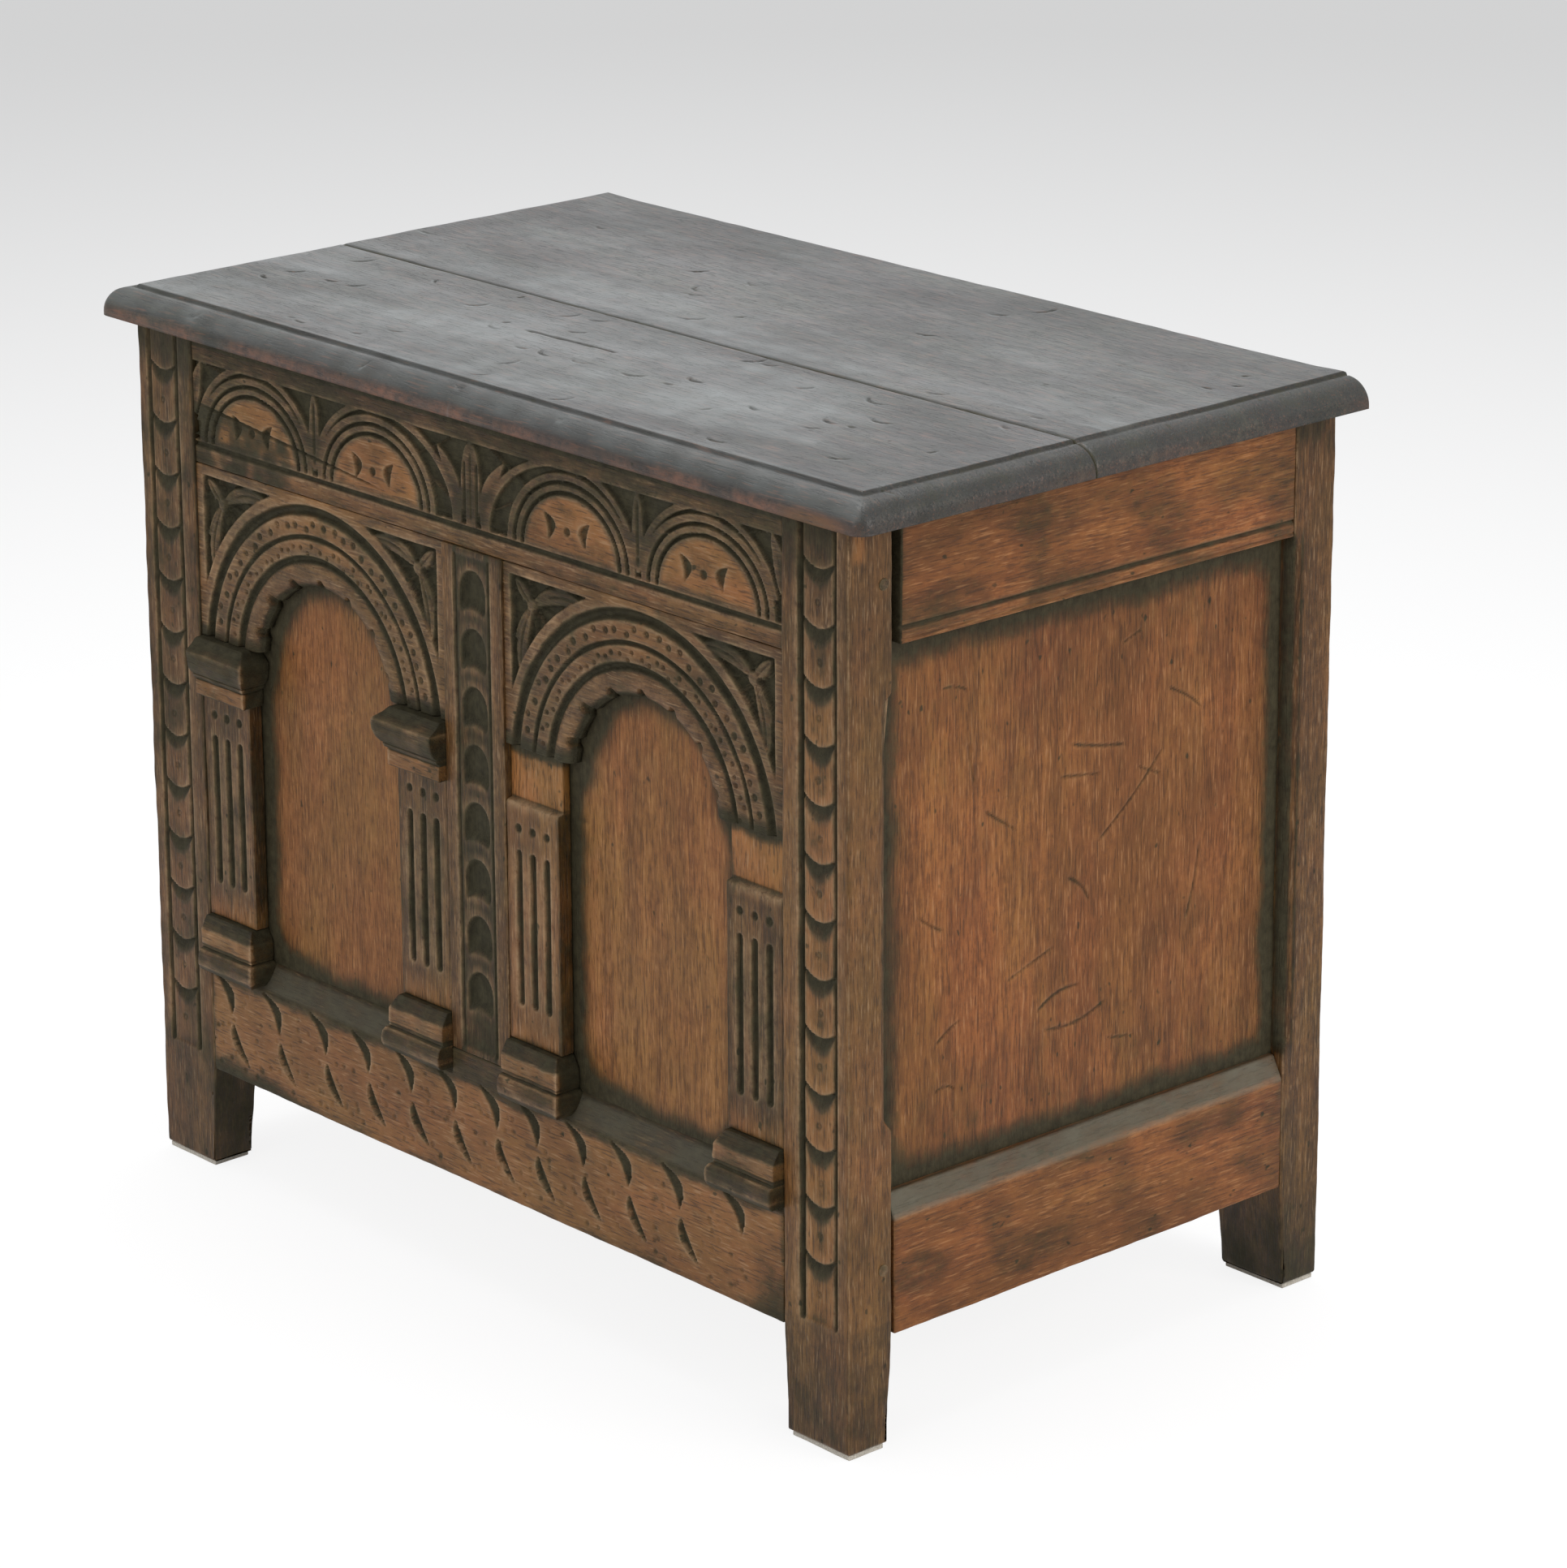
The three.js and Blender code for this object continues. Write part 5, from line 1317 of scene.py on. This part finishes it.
def rail_stain_and_shade(x, y, z):
    end = np.minimum(y - inner_front, inner_back - y)
    above = z - side_panel_z[1]
    # Painted shade: the top rail's front end, in the slot by the stile, is dark
    slot = ease(1.5 - (y - inner_front - np.where(above > 0, TOP_SHOULDER_GAP, 0)) / 1.2)
    shoulder = np.maximum(ease(1 - end / 8) * 0.35, slot)
    rear_end = ease(1 - (inner_back - y) / 40) * 0.3
    lid = ease(1 - (frame_top - z) / 16) * 0.3
    lines = np.where(above > 0, ease(1.1 - np.abs(above - SIDE_LINE_HEIGHT) / 2.6) * 0.75, 0)
    patches = 0.3 * ease(ripple(np.stack([y, z], -1), 45, 21) + np.where(above > 0, 0.6, 0.2))
    return np.maximum.reduce([shoulder, rear_end, lid, lines, patches])


for side, way in (("left", -1), ("right", 1)):
    outer_face = (0, -1) if way > 0 else (0, 0)
    gaps = (TOP_SHOULDER_GAP, BOTTOM_SHOULDER_GAP) if way > 0 else (LEFT_SHOULDER_GAP, LEFT_SHOULDER_GAP)
    rails = (("top", gaps[0], lines_cut, None), ("bottom", gaps[1], chamfer_cut, chamfer_soot))
    for place, gap, cut, dark_correction in rails:
        low, high = limits(f"{side}_{place}_rail")
        low[1], high[1] = inner_front + gap, inner_back
        carving = Carving(cut, (low[1], high[1]), (low[2], high[2]), dark_correction)
        board(f"{side}_{place}_rail", low, high, side_oak["y"], step=(6, 3, 1.2), carving=carving,
              face=outer_face, darkness=rail_stain_and_shade, dust_and_sheen=chamfer_dust_and_highlight if dark_correction else None, wander=0.6)
    low, high = limits(f"{side}_panel")
    carving = Carving(side_panel_cut, (low[1], high[1]), (low[2], high[2]), side_panel_soot)
    step = SEEN_PANEL_STEP if way > 0 else UNSEEN_PANEL_STEP
    board(f"{side}_panel", low, high, side_oak["z"], step=(4, step, step), arris=1.0, carving=carving,
          face=outer_face, darkness=side_panel_stain, wander=0.8)
    for place in ("top", "bottom"):
        worn_copy(f"{side}_{place}_peg", brown_oak["x"], round_by=0.5, grime=0.45)
print("side panel", len(pieces["right_panel"].data.polygons), "faces")


# %% [markdown]
# ## Back and inside
# The back is the plain side of the chest. Its rails and muntin are as brown as the front's. Its panels,
# the floor boards, their bearers and the battens under the lid were never waxed: dry, bare oak. All of
# them are worn boards without a carving, so the same function makes them with a coarse grid.

# %% Plain boards
# The hinge leaves stand out by this much from the rail's top and from the lid's underside
LEAF_STANDS_PROUD = 0.3
for place in ("top", "bottom"):
    low, high = limits(f"back_{place}_rail")
    low[0], high[0] = -inner_x, inner_x
    if place == "top":
        high[2] -= LEAF_STANDS_PROUD
    board(f"back_{place}_rail", low, high, brown_oak["x"], step=8,
          darkness=lambda x, y, z: ease(1 - (inner_x - np.abs(x)) / 8) * 0.35)
low, high = limits("back_muntin")
back_panel_z = (limits("back_bottom_rail")[1][2], limits("back_top_rail")[0][2])
low[2], high[2] = back_panel_z
board("back_muntin", low, high, brown_oak["z"], step=8)
for name in ("back_left_panel", "back_right_panel"):
    board(name, *limits(name), bare_oak["z"], wander=0.6)
for name in ("front_floor_bearer", "rear_floor_bearer"):
    board(name, *limits(name), bare_oak["x"])
for name in [f"floor_board_{i}" for i in range(1, 5)] + ["lid_left_batten", "lid_right_batten"]:
    board(name, *limits(name), bare_oak["y"])
print(len(pieces), "pieces so far")


# %% [markdown]
# ## Lid
# Two boards side by side, with a thumb moulding run round the front and both ends: a fillet, a quarter
# round and a small sunk quirk where it meets the top. The top is a grid whose height follows the
# moulding's profile by the distance in from the edge, so the mitres at the corners make themselves.
# Dents are small bowed cuts scattered with a fixed seed, more of them on the front board; they hold
# painted shade, and their lips a painted highlight. The pale grey on the top and on the round is
# painted sheen, and the quirk holds painted shade.

# %% Lid profile and dents
MOULDING_WIDTH = 18.6
MOULDING_FILLET = 3.0
QUIRK_WIDTH = 1.8
QUIRK_DEPTH = 1.6
LID_CORNER = 9.0
front_board_low, front_board_high = limits("lid_front_board")
rear_board_low, rear_board_high = limits("lid_rear_board")
lid_low = np.minimum(front_board_low, rear_board_low)
lid_high = np.maximum(front_board_high, rear_board_high)
lid_thickness = lid_high[2] - lid_low[2]
round_width = MOULDING_WIDTH - QUIRK_WIDTH
edge_insets = round_width * (1 - np.cos(np.linspace(0, math.pi / 2, 12)))
edge_insets = np.concatenate([edge_insets, round_width + QUIRK_WIDTH * np.array([0.3, 0.6, 0.85, 1.05])])


def profile_drop(inset):
    """How far the moulding lies below the lid's top, by the distance in from its edge."""
    rise = lid_thickness - MOULDING_FILLET - QUIRK_DEPTH
    share = np.clip(1 - inset / round_width, 0, 1)
    drop = QUIRK_DEPTH + rise * (1 - np.sqrt(1 - share**2))
    quirk = ease((inset - round_width) / QUIRK_WIDTH)
    fillet = 0.9 * np.exp(-(((inset - round_width) / 1.1) ** 2))
    return (drop + fillet) * (1 - quirk)


def dents(points, count, box_low, box_high, seed):
    """Thin bowed nicks: how deep they are, and how near a point lies to one of their raised edges."""
    rng = np.random.default_rng(seed)
    depth, lip = np.zeros((2, len(points)))
    for _ in range(count):
        middle = rng.uniform(box_low, box_high)
        turn = rng.normal(0.25, 0.6)
        reach, width = rng.uniform(2, 6) ** 1.3, rng.uniform(1.1, 1.7)
        near = np.abs(points - middle).max(1) < reach + 2 * width
        step = points[near] - middle
        along = step @ np.array([math.cos(turn), math.sin(turn)])
        side = step @ np.array([-math.sin(turn), math.cos(turn)]) - 0.05 * along**2
        length = ease(1.2 - np.abs(along) / reach)
        nick = rng.uniform(0.5, 1.3) * length * ease(1 - np.abs(side) / width)
        depth[near] = np.maximum(depth[near], nick)
        lip[near] = np.maximum(lip[near], length * ease(1 - np.abs(side + 1.3 * width) / width))
    return depth, lip


print("the lid's moulding drops", round(float(profile_drop(0)), 1), "mm at its edge")


# %% Lid boards
SPLIT = ((-78.0, -84.0), (8.0, -80.0))
CUPPING = 0.9
joint_y = rear_board_low[1]


def lid_painted_sheen(x, y, seed):
    """Painted sheen on the lid's top in clouds and streaks: a strip behind the joint and a wide patch at
    the front; painted shade before the joint, and less sheen towards the right end and on the rear board.
    """
    flat = np.stack([x * 0.6, y * 1.6], -1)
    streaks = np.stack([x * 0.1, y], -1)
    cloud = 0.44 + 0.3 * ripple(flat, 220, seed + 5) + 0.1 * ripple(flat, 70, seed + 6)
    cloud = cloud + 0.24 * ripple(streaks, 22, seed + 7)
    behind, before = y - joint_y, joint_y - y
    strip = 0.45 * np.exp(-(((behind - 16) / 20) ** 2)) * (behind > 0) * ease((x + 260) / 150)
    shadow = 0.6 * np.exp(-((before / 20) ** 2)) * (before > 0) * ease(1.3 - np.abs(x + 20) / 260)
    patch = 0.4 * ease(1 - np.hypot((x - 60) / 220, (y + 130) / 60))
    darker = 0.6 * ease((x - 130) / 150) * (y < 0) + 0.58 * ease((y - 10) / 50)
    return np.clip(cloud + strip - shadow + patch - darker, 0, 1)


def lid_board(node, low, high, step, moulded_front, dent_count):
    seed = next_board()
    inside_x = np.arange(low[0] + edge_insets[-1] + step, high[0] - edge_insets[-1], step)
    xs = np.concatenate([low[0] + edge_insets, inside_x, high[0] - edge_insets[::-1]])
    first = low[1] + (edge_insets if moulded_front else np.array([0, 0.3, 0.8, 1.5]))
    last = high[1] - np.array([1.5, 0.8, 0.3, 0])
    ys = np.concatenate([first, np.arange(first[-1] + step, last[0], step), last])
    zs = np.array([0, 0.04, 0.5, 1.0])
    grid, faces = grid_box(xs, ys, zs, ((2, 0),))
    x, y, share = grid.T
    corner = np.array([lid_high[0] - LID_CORNER, lid_low[1] + LID_CORNER])
    off = np.stack([np.maximum(np.abs(x) - corner[0], 0), np.maximum(corner[1] - y, 0)], -1)
    square = off.max(1)
    length = np.maximum(np.hypot(*off.T), 1e-9)
    both = (off.min(1) > 0)[:, None]
    off = np.where(both, off / length[:, None] * square[:, None], off)
    x = np.sign(x) * (np.minimum(np.abs(x), corner[0]) + off[:, 0])
    y = np.maximum(y, corner[1]) - off[:, 1]
    inset = np.minimum(lid_high[0] - np.abs(x), y - lid_low[1])
    inset = np.where(both[:, 0], LID_CORNER - square, inset)
    flat = np.stack([x, y], -1)
    top = lid_high[2] - profile_drop(inset)
    on_top = share * ease((share - 0.4) / 0.6)
    hollow = 0.25 + 0.22 * ripple(flat, 130, seed) + 0.1 * ripple(flat, 30, seed + 1)
    hollow = hollow + CUPPING * ease(np.abs(y - joint_y) / 70) * ease((inset - 16) / 30)
    worn_edge = 0.7 * ease(ripple(flat, 48, seed + 2) - 0.3) * ease(1 - inset / 12)
    pits, lip = dents(flat, dent_count, low[:2], high[:2], seed)
    joint_edge = high[1] - y if moulded_front else np.minimum(y - low[1], high[1] - y)
    eased = 0.8 * ease(1 - joint_edge / 2.0)
    crack = scratch(x, y, *SPLIT, 2.2, 1.6)
    z = lid_low[2] + share * (top - lid_low[2]) - on_top * (hollow + worn_edge + pits + eased + crack)
    z = np.maximum(z, lid_low[2] + LEAF_STANDS_PROUD)
    points = np.stack([x, y, z], -1)
    quirk = np.exp(-(((inset - round_width - 0.6) / 1.1) ** 2))
    seam = ease(1.15 - np.abs(y - joint_y) / 1.3)
    # Painted shade in the quirk; the joint and the crack are dark
    dirt_and_shade = 0.28 * quirk * (0.7 + 0.6 * ripple(points, 60, seed + 4)) + 0.9 * seam + 0.8 * ease(crack)
    # Painted shade in the dents
    dirt_and_shade = dirt_and_shade + 0.25 * ease(pits * 1.3)
    above = z - lid_low[2]
    under = ease(1.4 - above / 6)
    corner_rub = 2.0 * ease(1 - np.abs(lid_high[0] - 38 - x) / 34) * ease(1 - (y - lid_low[1]) / 7)
    at_front = ease((lid_high[0] - np.abs(x) - (y - lid_low[1])) / 4 + 0.5) * 0.75 + 0.25
    low_edge = ease(1.5 - above / 6.5) * (0.7 + 0.6 * ripple(points, 55, seed + 3)) * at_front
    wear = np.clip(low_edge, 0, 1) * 0.9 * (1 - np.clip(under * corner_rub, 0, 1))
    # A painted highlight along the rim inside the quirk, at the front
    rim = 0.3 * np.exp(-(((inset - MOULDING_WIDTH - 2) / 1.5) ** 2))
    mottle = 0.88 + 0.24 * ripple(flat, 40, seed + 8)
    # A painted highlight on the upper round, mostly at the front; at the ends the round is darker instead
    round_part = ease((above - 6) / 5) * ease((18.5 - inset) / 2)
    round_highlight = 0.55 * round_part * (0.2 + 0.8 * at_front)
    dirt_and_shade = dirt_and_shade + 0.3 * round_part * (1 - at_front)
    dust_and_sheen = lid_painted_sheen(x, y, seed) * ease((inset - 15) / 6) + round_highlight + rim * at_front
    # A painted highlight on the dents' lips, and no pale grey where it is dark
    dust_and_sheen = (dust_and_sheen * mottle + 0.8 * lip) * (1 - np.clip(1.2 * dirt_and_shade, 0, 1))
    gold = np.clip(corner_rub * under, 0, 1)
    marks = {"dirt_and_shade": dirt_and_shade, "wear": wear, "dust_and_sheen": dust_and_sheen, "polish": gold}
    marks = {key: np.clip(values, 0, 1) * (share > 0) for key, values in marks.items()}
    made = make_piece(node, points, faces, {**marks, "board": GRAIN_PER_BOARD * seed}, lid_oak)
    made.data.materials.append(bare_oak["x"])
    for face in made.data.polygons:
        face.material_index = int(len(face.vertices) > 4)
    return made


lid_board("lid_front_board", *limits("lid_front_board"), step=1.2, moulded_front=True, dent_count=46)
lid_board("lid_rear_board", *limits("lid_rear_board"), step=1.6, moulded_front=False, dent_count=16)
print("lid boards", [len(pieces[f"lid_{end}_board"].data.polygons) for end in ("front", "rear")])


# %% [markdown]
# ## Screws and nails
# Twelve countersunk screws hold the hinges, and sixteen hand-made nails the floor boards.
# They repeat, so one node tree makes them all: it sets a head on each point of a small mesh, turns each
# one by chance and joins the result into a plain mesh. The slot is a thin block taken out of the head.

# %% Heads on points
def node_input(group, name, kind, value):
    socket = group.interface.new_socket(name=name, in_out="INPUT", socket_type="NodeSocket" + kind)
    if kind != "Geometry":
        socket.default_value = value
    return socket.identifier


def head_tree():
    """A tree that sets a fastener's head on each point."""
    group = bpy.data.node_groups.new("fastener_heads", "GeometryNodeTree")
    names = {
        "Geometry": ("Geometry", None),
        "Face Radius": ("Float", 0.003), "Foot Radius": ("Float", 0.0016), "Height": ("Float", 0.0012),
        "Slot Width": ("Float", 0.0007), "Slot Depth": ("Float", 0.0005),
        "Sides": ("Int", 20), "Seed": ("Int", 3), "Material": ("Material", None),
    }
    sockets = {name: node_input(group, name, *rest) for name, rest in names.items()}
    group.interface.new_socket(name="Geometry", in_out="OUTPUT", socket_type="NodeSocketGeometry")

    def add(kind, **links):
        made = group.nodes.new(kind)
        for key, value in links.items():
            socket = made.inputs[key.replace("_", " ")]
            if isinstance(value, bpy.types.NodeSocket):
                group.links.new(value, socket)
            else:
                socket.default_value = value
        return made

    given = group.nodes.new("NodeGroupInput").outputs
    head = add("GeometryNodeMeshCone", Vertices=given["Sides"], Radius_Top=given["Face Radius"],
               Radius_Bottom=given["Foot Radius"], Depth=given["Height"])
    block = add("ShaderNodeCombineXYZ", X=given["Slot Width"], Y=0.02, Z=given["Slot Depth"])
    slot = add("GeometryNodeMeshCube", Size=block.outputs[0])
    lift = add("ShaderNodeCombineXYZ", X=0.0, Y=0.0, Z=given["Height"])
    placed = add("GeometryNodeTransform", Geometry=slot.outputs["Mesh"], Translation=lift.outputs[0])
    slotted = group.nodes.new("GeometryNodeMeshBoolean")
    slotted.operation = "DIFFERENCE"
    group.links.new(head.outputs["Mesh"], slotted.inputs[0])
    group.links.new(placed.outputs["Geometry"], slotted.inputs[1])
    chance = group.nodes.new("FunctionNodeRandomValue")
    chance.data_type = "FLOAT"
    chance.inputs[3].default_value = math.pi
    group.links.new(given["Seed"], chance.inputs["Seed"])
    turn = add("ShaderNodeCombineXYZ", X=0.0, Y=0.0, Z=chance.outputs[1])
    points = add("GeometryNodeMeshToPoints", Mesh=given["Geometry"])
    copies = add("GeometryNodeInstanceOnPoints", Points=points.outputs[0], Instance=slotted.outputs[0],
                 Rotation=turn.outputs[0])
    real = add("GeometryNodeRealizeInstances", Geometry=copies.outputs[0])
    coated = add("GeometryNodeSetMaterial", Geometry=real.outputs[0], Material=given["Material"])
    out = group.nodes.new("NodeGroupOutput")
    group.links.new(coated.outputs[0], out.inputs[0])
    return group, sockets


tree_of_heads, head_sockets = head_tree()
print("tree inputs", list(head_sockets))


# %% Set the heads
SCREW_SINK = 0.1


def heads(name, places, facing, body, material, face, foot, height, slot_width, seed):
    """Heads with their faces at the given places, facing up (1) or down (-1)."""
    mesh = bpy.data.meshes.new(name + "_points")
    mesh.from_pydata([(x * MM, facing * y * MM, facing * z * MM) for x, y, z in places], [], [])
    made = bpy.data.objects.new(name + "_points", mesh)
    bpy.context.scene.collection.objects.link(made)
    modifier = made.modifiers.new("heads", "NODES")
    modifier.node_group = tree_of_heads
    values = {"Face Radius": face * MM, "Foot Radius": foot * MM, "Height": height * MM,
              "Slot Width": slot_width * MM, "Seed": seed, "Material": material}
    for key, value in values.items():
        modifier[head_sockets[key]] = value
    ready = made.evaluated_get(bpy.context.evaluated_depsgraph_get())
    plain = bpy.data.meshes.new_from_object(ready)
    made.modifiers.clear()
    bpy.data.objects.remove(made)
    plain.transform(Matrix.Translation((0, 0, -height * MM)))
    if facing < 0:
        plain.transform(Matrix.Diagonal((1, -1, -1, 1)))
    finished = bpy.data.objects.new(name, plain)
    bpy.context.scene.collection.objects.link(finished)
    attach(finished, body)
    print(name, len(plain.polygons), "faces")


# %% [markdown]
# ## Hinges and pads
# Two brass butt hinges, dull with age, and a felt pad glued under each foot. The leaves and pins keep
# their CAD shape with softened edges. Felt has no grain, only a fine nap, which noise in the bump gives.


# %% Brass and felt
def clouded(name, noise, span, first, second, surface, rough=None, bump=None):
    """Two tones that a noise mixes, and where asked it also varies the gloss and raises a bump."""
    material, tree, shader = new_material(name)
    place = node(tree, "TexCoord").outputs["Object"]
    cloud = node(tree, "TexNoise", {"Vector": place, **noise}).outputs["Fac"]
    tone = blend(tree, between(tree, cloud, *span), colour(*first), colour(*second))
    tree.links.new(tone, shader.inputs["Base Color"])
    for key, value in surface.items():
        shader.inputs[key].default_value = value
    if rough:
        tree.links.new(between(tree, cloud, *rough), shader.inputs["Roughness"])
    if bump:
        raised = node(tree, "Bump", {"Strength": bump[0], "Distance": bump[1], "Height": cloud})
        tree.links.new(raised.outputs["Normal"], shader.inputs["Normal"])
    return material


brass = clouded("dull_brass", {"Scale": 220.0, "Detail": 5.0}, (0.42, 0.62), (168, 134, 70), (84, 62, 34),
                {"Metallic": 1.0}, rough=(0.35, 0.65, 0.28, 0.6), bump=(0.2, 0.0003))
felt = clouded("pressed_felt", {"Scale": 900.0, "Detail": 6.0, "Roughness": 0.7}, (0.35, 0.65),
               (168, 160, 146), (214, 208, 196), {"Roughness": 0.95, "Sheen Weight": 0.3},
               bump=(0.6, 0.0004))
iron = clouded("black_iron", {"Scale": 500.0, "Detail": 4.0}, (0.4, 0.65), (46, 43, 41), (92, 62, 44),
               {"Roughness": 0.6, "Metallic": 0.7})
for hand in ("left", "right"):
    for part in ("lid_leaf", "frame_leaf", "pin"):
        worn_copy(f"{hand}_hinge_{part}", brass, round_by=0.18, grime=0.0)
    for end in ("front", "rear"):
        board(f"{end}_{hand}_pad", *limits(f"{end}_{hand}_pad"), felt, step=3, arris=0.7, wander=0.1)
print(len(pieces), "of", len(frame["nodes"]), "nodes are dressed")

# %% [markdown]
# ## Heads in their places
# Three screws lie in each leaf's countersinks and ride on the body that the leaf belongs to, so they
# turn with the lid or stay with the frame. The nails sit over the bearers, just under the boards' face.

# %% Screws of the hinges and nails of the boards
SCREW_STEPS = (-19.0, 0.0, 19.0)
SCREW_FROM_PIN = 12.0
for body, part, facing in (("lid", "lid_leaf", -1), ("carcass", "frame_leaf", 1)):
    places = []
    for hand in ("left", "right"):
        low, high = limits(f"{hand}_hinge_{part}")
        pin_low, pin_high = limits(f"{hand}_hinge_pin")
        middle, pin_y = (low[0] + high[0]) / 2, (pin_low[1] + pin_high[1]) / 2
        z = lid_low[2] if facing < 0 else frame_top
        places += [(middle + step, pin_y - SCREW_FROM_PIN, z - facing * SCREW_SINK) for step in SCREW_STEPS]
    heads(f"{part}_screws", places, facing, body, brass,
          face=2.9, foot=1.7, height=1.1, slot_width=0.8, seed=5)
NAIL_FROM_EDGE = 22.0
NAIL_SINK = 0.4
places = []
for i in range(1, 5):
    low, high = limits(f"floor_board_{i}")
    for end in ("front", "rear"):
        bearer = limits(f"{end}_floor_bearer")
        y = (bearer[0][1] + bearer[1][1]) / 2
        places += [(x, y, high[2] - NAIL_SINK) for x in (low[0] + NAIL_FROM_EDGE, high[0] - NAIL_FROM_EDGE)]
heads("floor_nails", places, 1, "carcass", iron,
      face=2.6, foot=2.6, height=1.0, slot_width=0.05, seed=8)


# %% [markdown]
# ## Floor and light
# The photograph stands on nothing but white that turns grey far behind. A wide floor gives that to the
# camera by its own colour, and still takes a faint shadow from the chest. A large soft lamp above
# lights the lid, one on the right lights the side, a low one behind is mirrored in the lid's wax, and
# a pale world fills the rest.

# %% Floor
WHITE_WITHIN = 0.3
GREY_BEYOND = 3.9
GREY = 0.62


def far_grey(tree):
    """White near the chest and grey far from it, by distance on the floor."""
    place = node(tree, "TexCoord").outputs["Object"]
    away = node(tree, "VectorMath", {0: place}, operation="LENGTH").outputs["Value"]
    ramp = {0: away, 1: WHITE_WITHIN, 2: GREY_BEYOND, 3: 1.0, 4: GREY}
    grey = node(tree, "MapRange", ramp, interpolation_type="SMOOTHSTEP").outputs[0]
    return node(tree, "CombineColor", dict.fromkeys(range(3), grey)).outputs[0]


def seen_directly(tree):
    rays = node(tree, "LightPath").outputs
    either = maths(tree, "MAXIMUM", rays["Is Camera Ray"], rays["Is Glossy Ray"])
    return maths(tree, "MAXIMUM", either, rays["Is Transmission Ray"])


def pale_floor():
    material, tree, shader = new_material("pale_floor")
    tree.nodes.remove(shader)
    plain = node(tree, "BsdfDiffuse", {"Color": (0.8, 0.8, 0.8, 1)}).outputs[0]
    shadow = node(tree, "BsdfDiffuse", {"Color": (0.17, 0.17, 0.17, 1)}).outputs[0]
    glow = node(tree, "Emission", {"Color": far_grey(tree), "Strength": 0.86}).outputs[0]
    shown = node(tree, "AddShader", {0: glow, 1: shadow}).outputs[0]
    mixed = node(tree, "MixShader", {0: seen_directly(tree), 1: plain, 2: shown}).outputs[0]
    output = next(n for n in tree.nodes if n.type == "OUTPUT_MATERIAL")
    tree.links.new(mixed, output.inputs["Surface"])
    return material


bpy.ops.mesh.primitive_plane_add(size=60)
floor = bpy.context.object
floor.name = "floor"
floor.data.materials.append(pale_floor())
print("the floor is", round(floor.dimensions.x), "m wide")

# %% Lamps
world = bpy.data.worlds.new("pale_room")
bpy.context.scene.world = world
world.use_nodes = True
room = world.node_tree
background = room.nodes["Background"]
seen = node(room, "LightPath").outputs["Is Camera Ray"]
room.links.new(between(room, seen, 0, 1, 0.6, 0.65), background.inputs["Strength"])
background.inputs["Color"].default_value = (0.97, 0.98, 1.0, 1)


def softbox(name, place, aim, size, power, tint=(1, 1, 1)):
    lamp = bpy.data.lights.new(name, "AREA")
    lamp.shape, lamp.size, lamp.energy, lamp.color = "SQUARE", size, power, tint
    holder = bpy.data.objects.new(name, lamp)
    bpy.context.scene.collection.objects.link(holder)
    way = Vector(place) - Vector(aim)
    holder.location = place
    holder.rotation_euler = way.to_track_quat("Z", "Y").to_euler()


softbox("top_light", (-0.3, 0.3, 2.8), (0, 0, 0.3), 2.2, 46)
softbox("right_light", (2.7, 0.7, 1.5), (0.2, 0, 0.3), 1.4, 30, (1, 0.97, 0.93))
softbox("front_light", (-0.6, -3.0, 1.7), (0, 0, 0.3), 1.8, 20)
softbox("back_light", (-2.5, 2.3, 1.55), (0, 0, 0.56), 1.8, 7, (0.93, 0.97, 1))

# %% [markdown]
# ## Camera
# The photograph looks down on the chest from its front right corner through a long lens, with its
# uprights straightened afterwards. A small shift takes up part of that; the rest is in the pitch.

# %% Camera
CAMERA_PLACE = (2.4366, -2.1454, 1.3627)
CAMERA_TURN = 47.94
CAMERA_PITCH = 16.89
CAMERA_ROLL = -0.26
CAMERA_FOCUS = 129.76
CAMERA_SHIFT = -0.10
camera = bpy.data.objects.new("camera", bpy.data.cameras.new("camera"))
bpy.context.scene.collection.objects.link(camera)
turns = (
    Matrix.Rotation(math.radians(CAMERA_TURN), 4, "Z"),
    Matrix.Rotation(math.radians(90 - CAMERA_PITCH), 4, "X"),
    Matrix.Rotation(math.radians(CAMERA_ROLL), 4, "Z"),
)
camera.matrix_world = Matrix.Translation(CAMERA_PLACE) @ turns[0] @ turns[1] @ turns[2]
camera.data.lens = CAMERA_FOCUS
camera.data.sensor_width = 36
camera.data.shift_y = CAMERA_SHIFT
bpy.context.scene.camera = camera
bpy.context.scene.view_settings.view_transform = "Standard"
print("the camera stands", round(math.hypot(*CAMERA_PLACE[:2]), 2), "m from the chest's middle")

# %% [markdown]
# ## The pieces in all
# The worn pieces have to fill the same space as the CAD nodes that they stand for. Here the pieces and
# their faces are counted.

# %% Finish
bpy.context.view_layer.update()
faces_in_all = sum(len(made.data.polygons) for made in pieces.values())
print(len(pieces), "pieces with", faces_in_all, "faces")
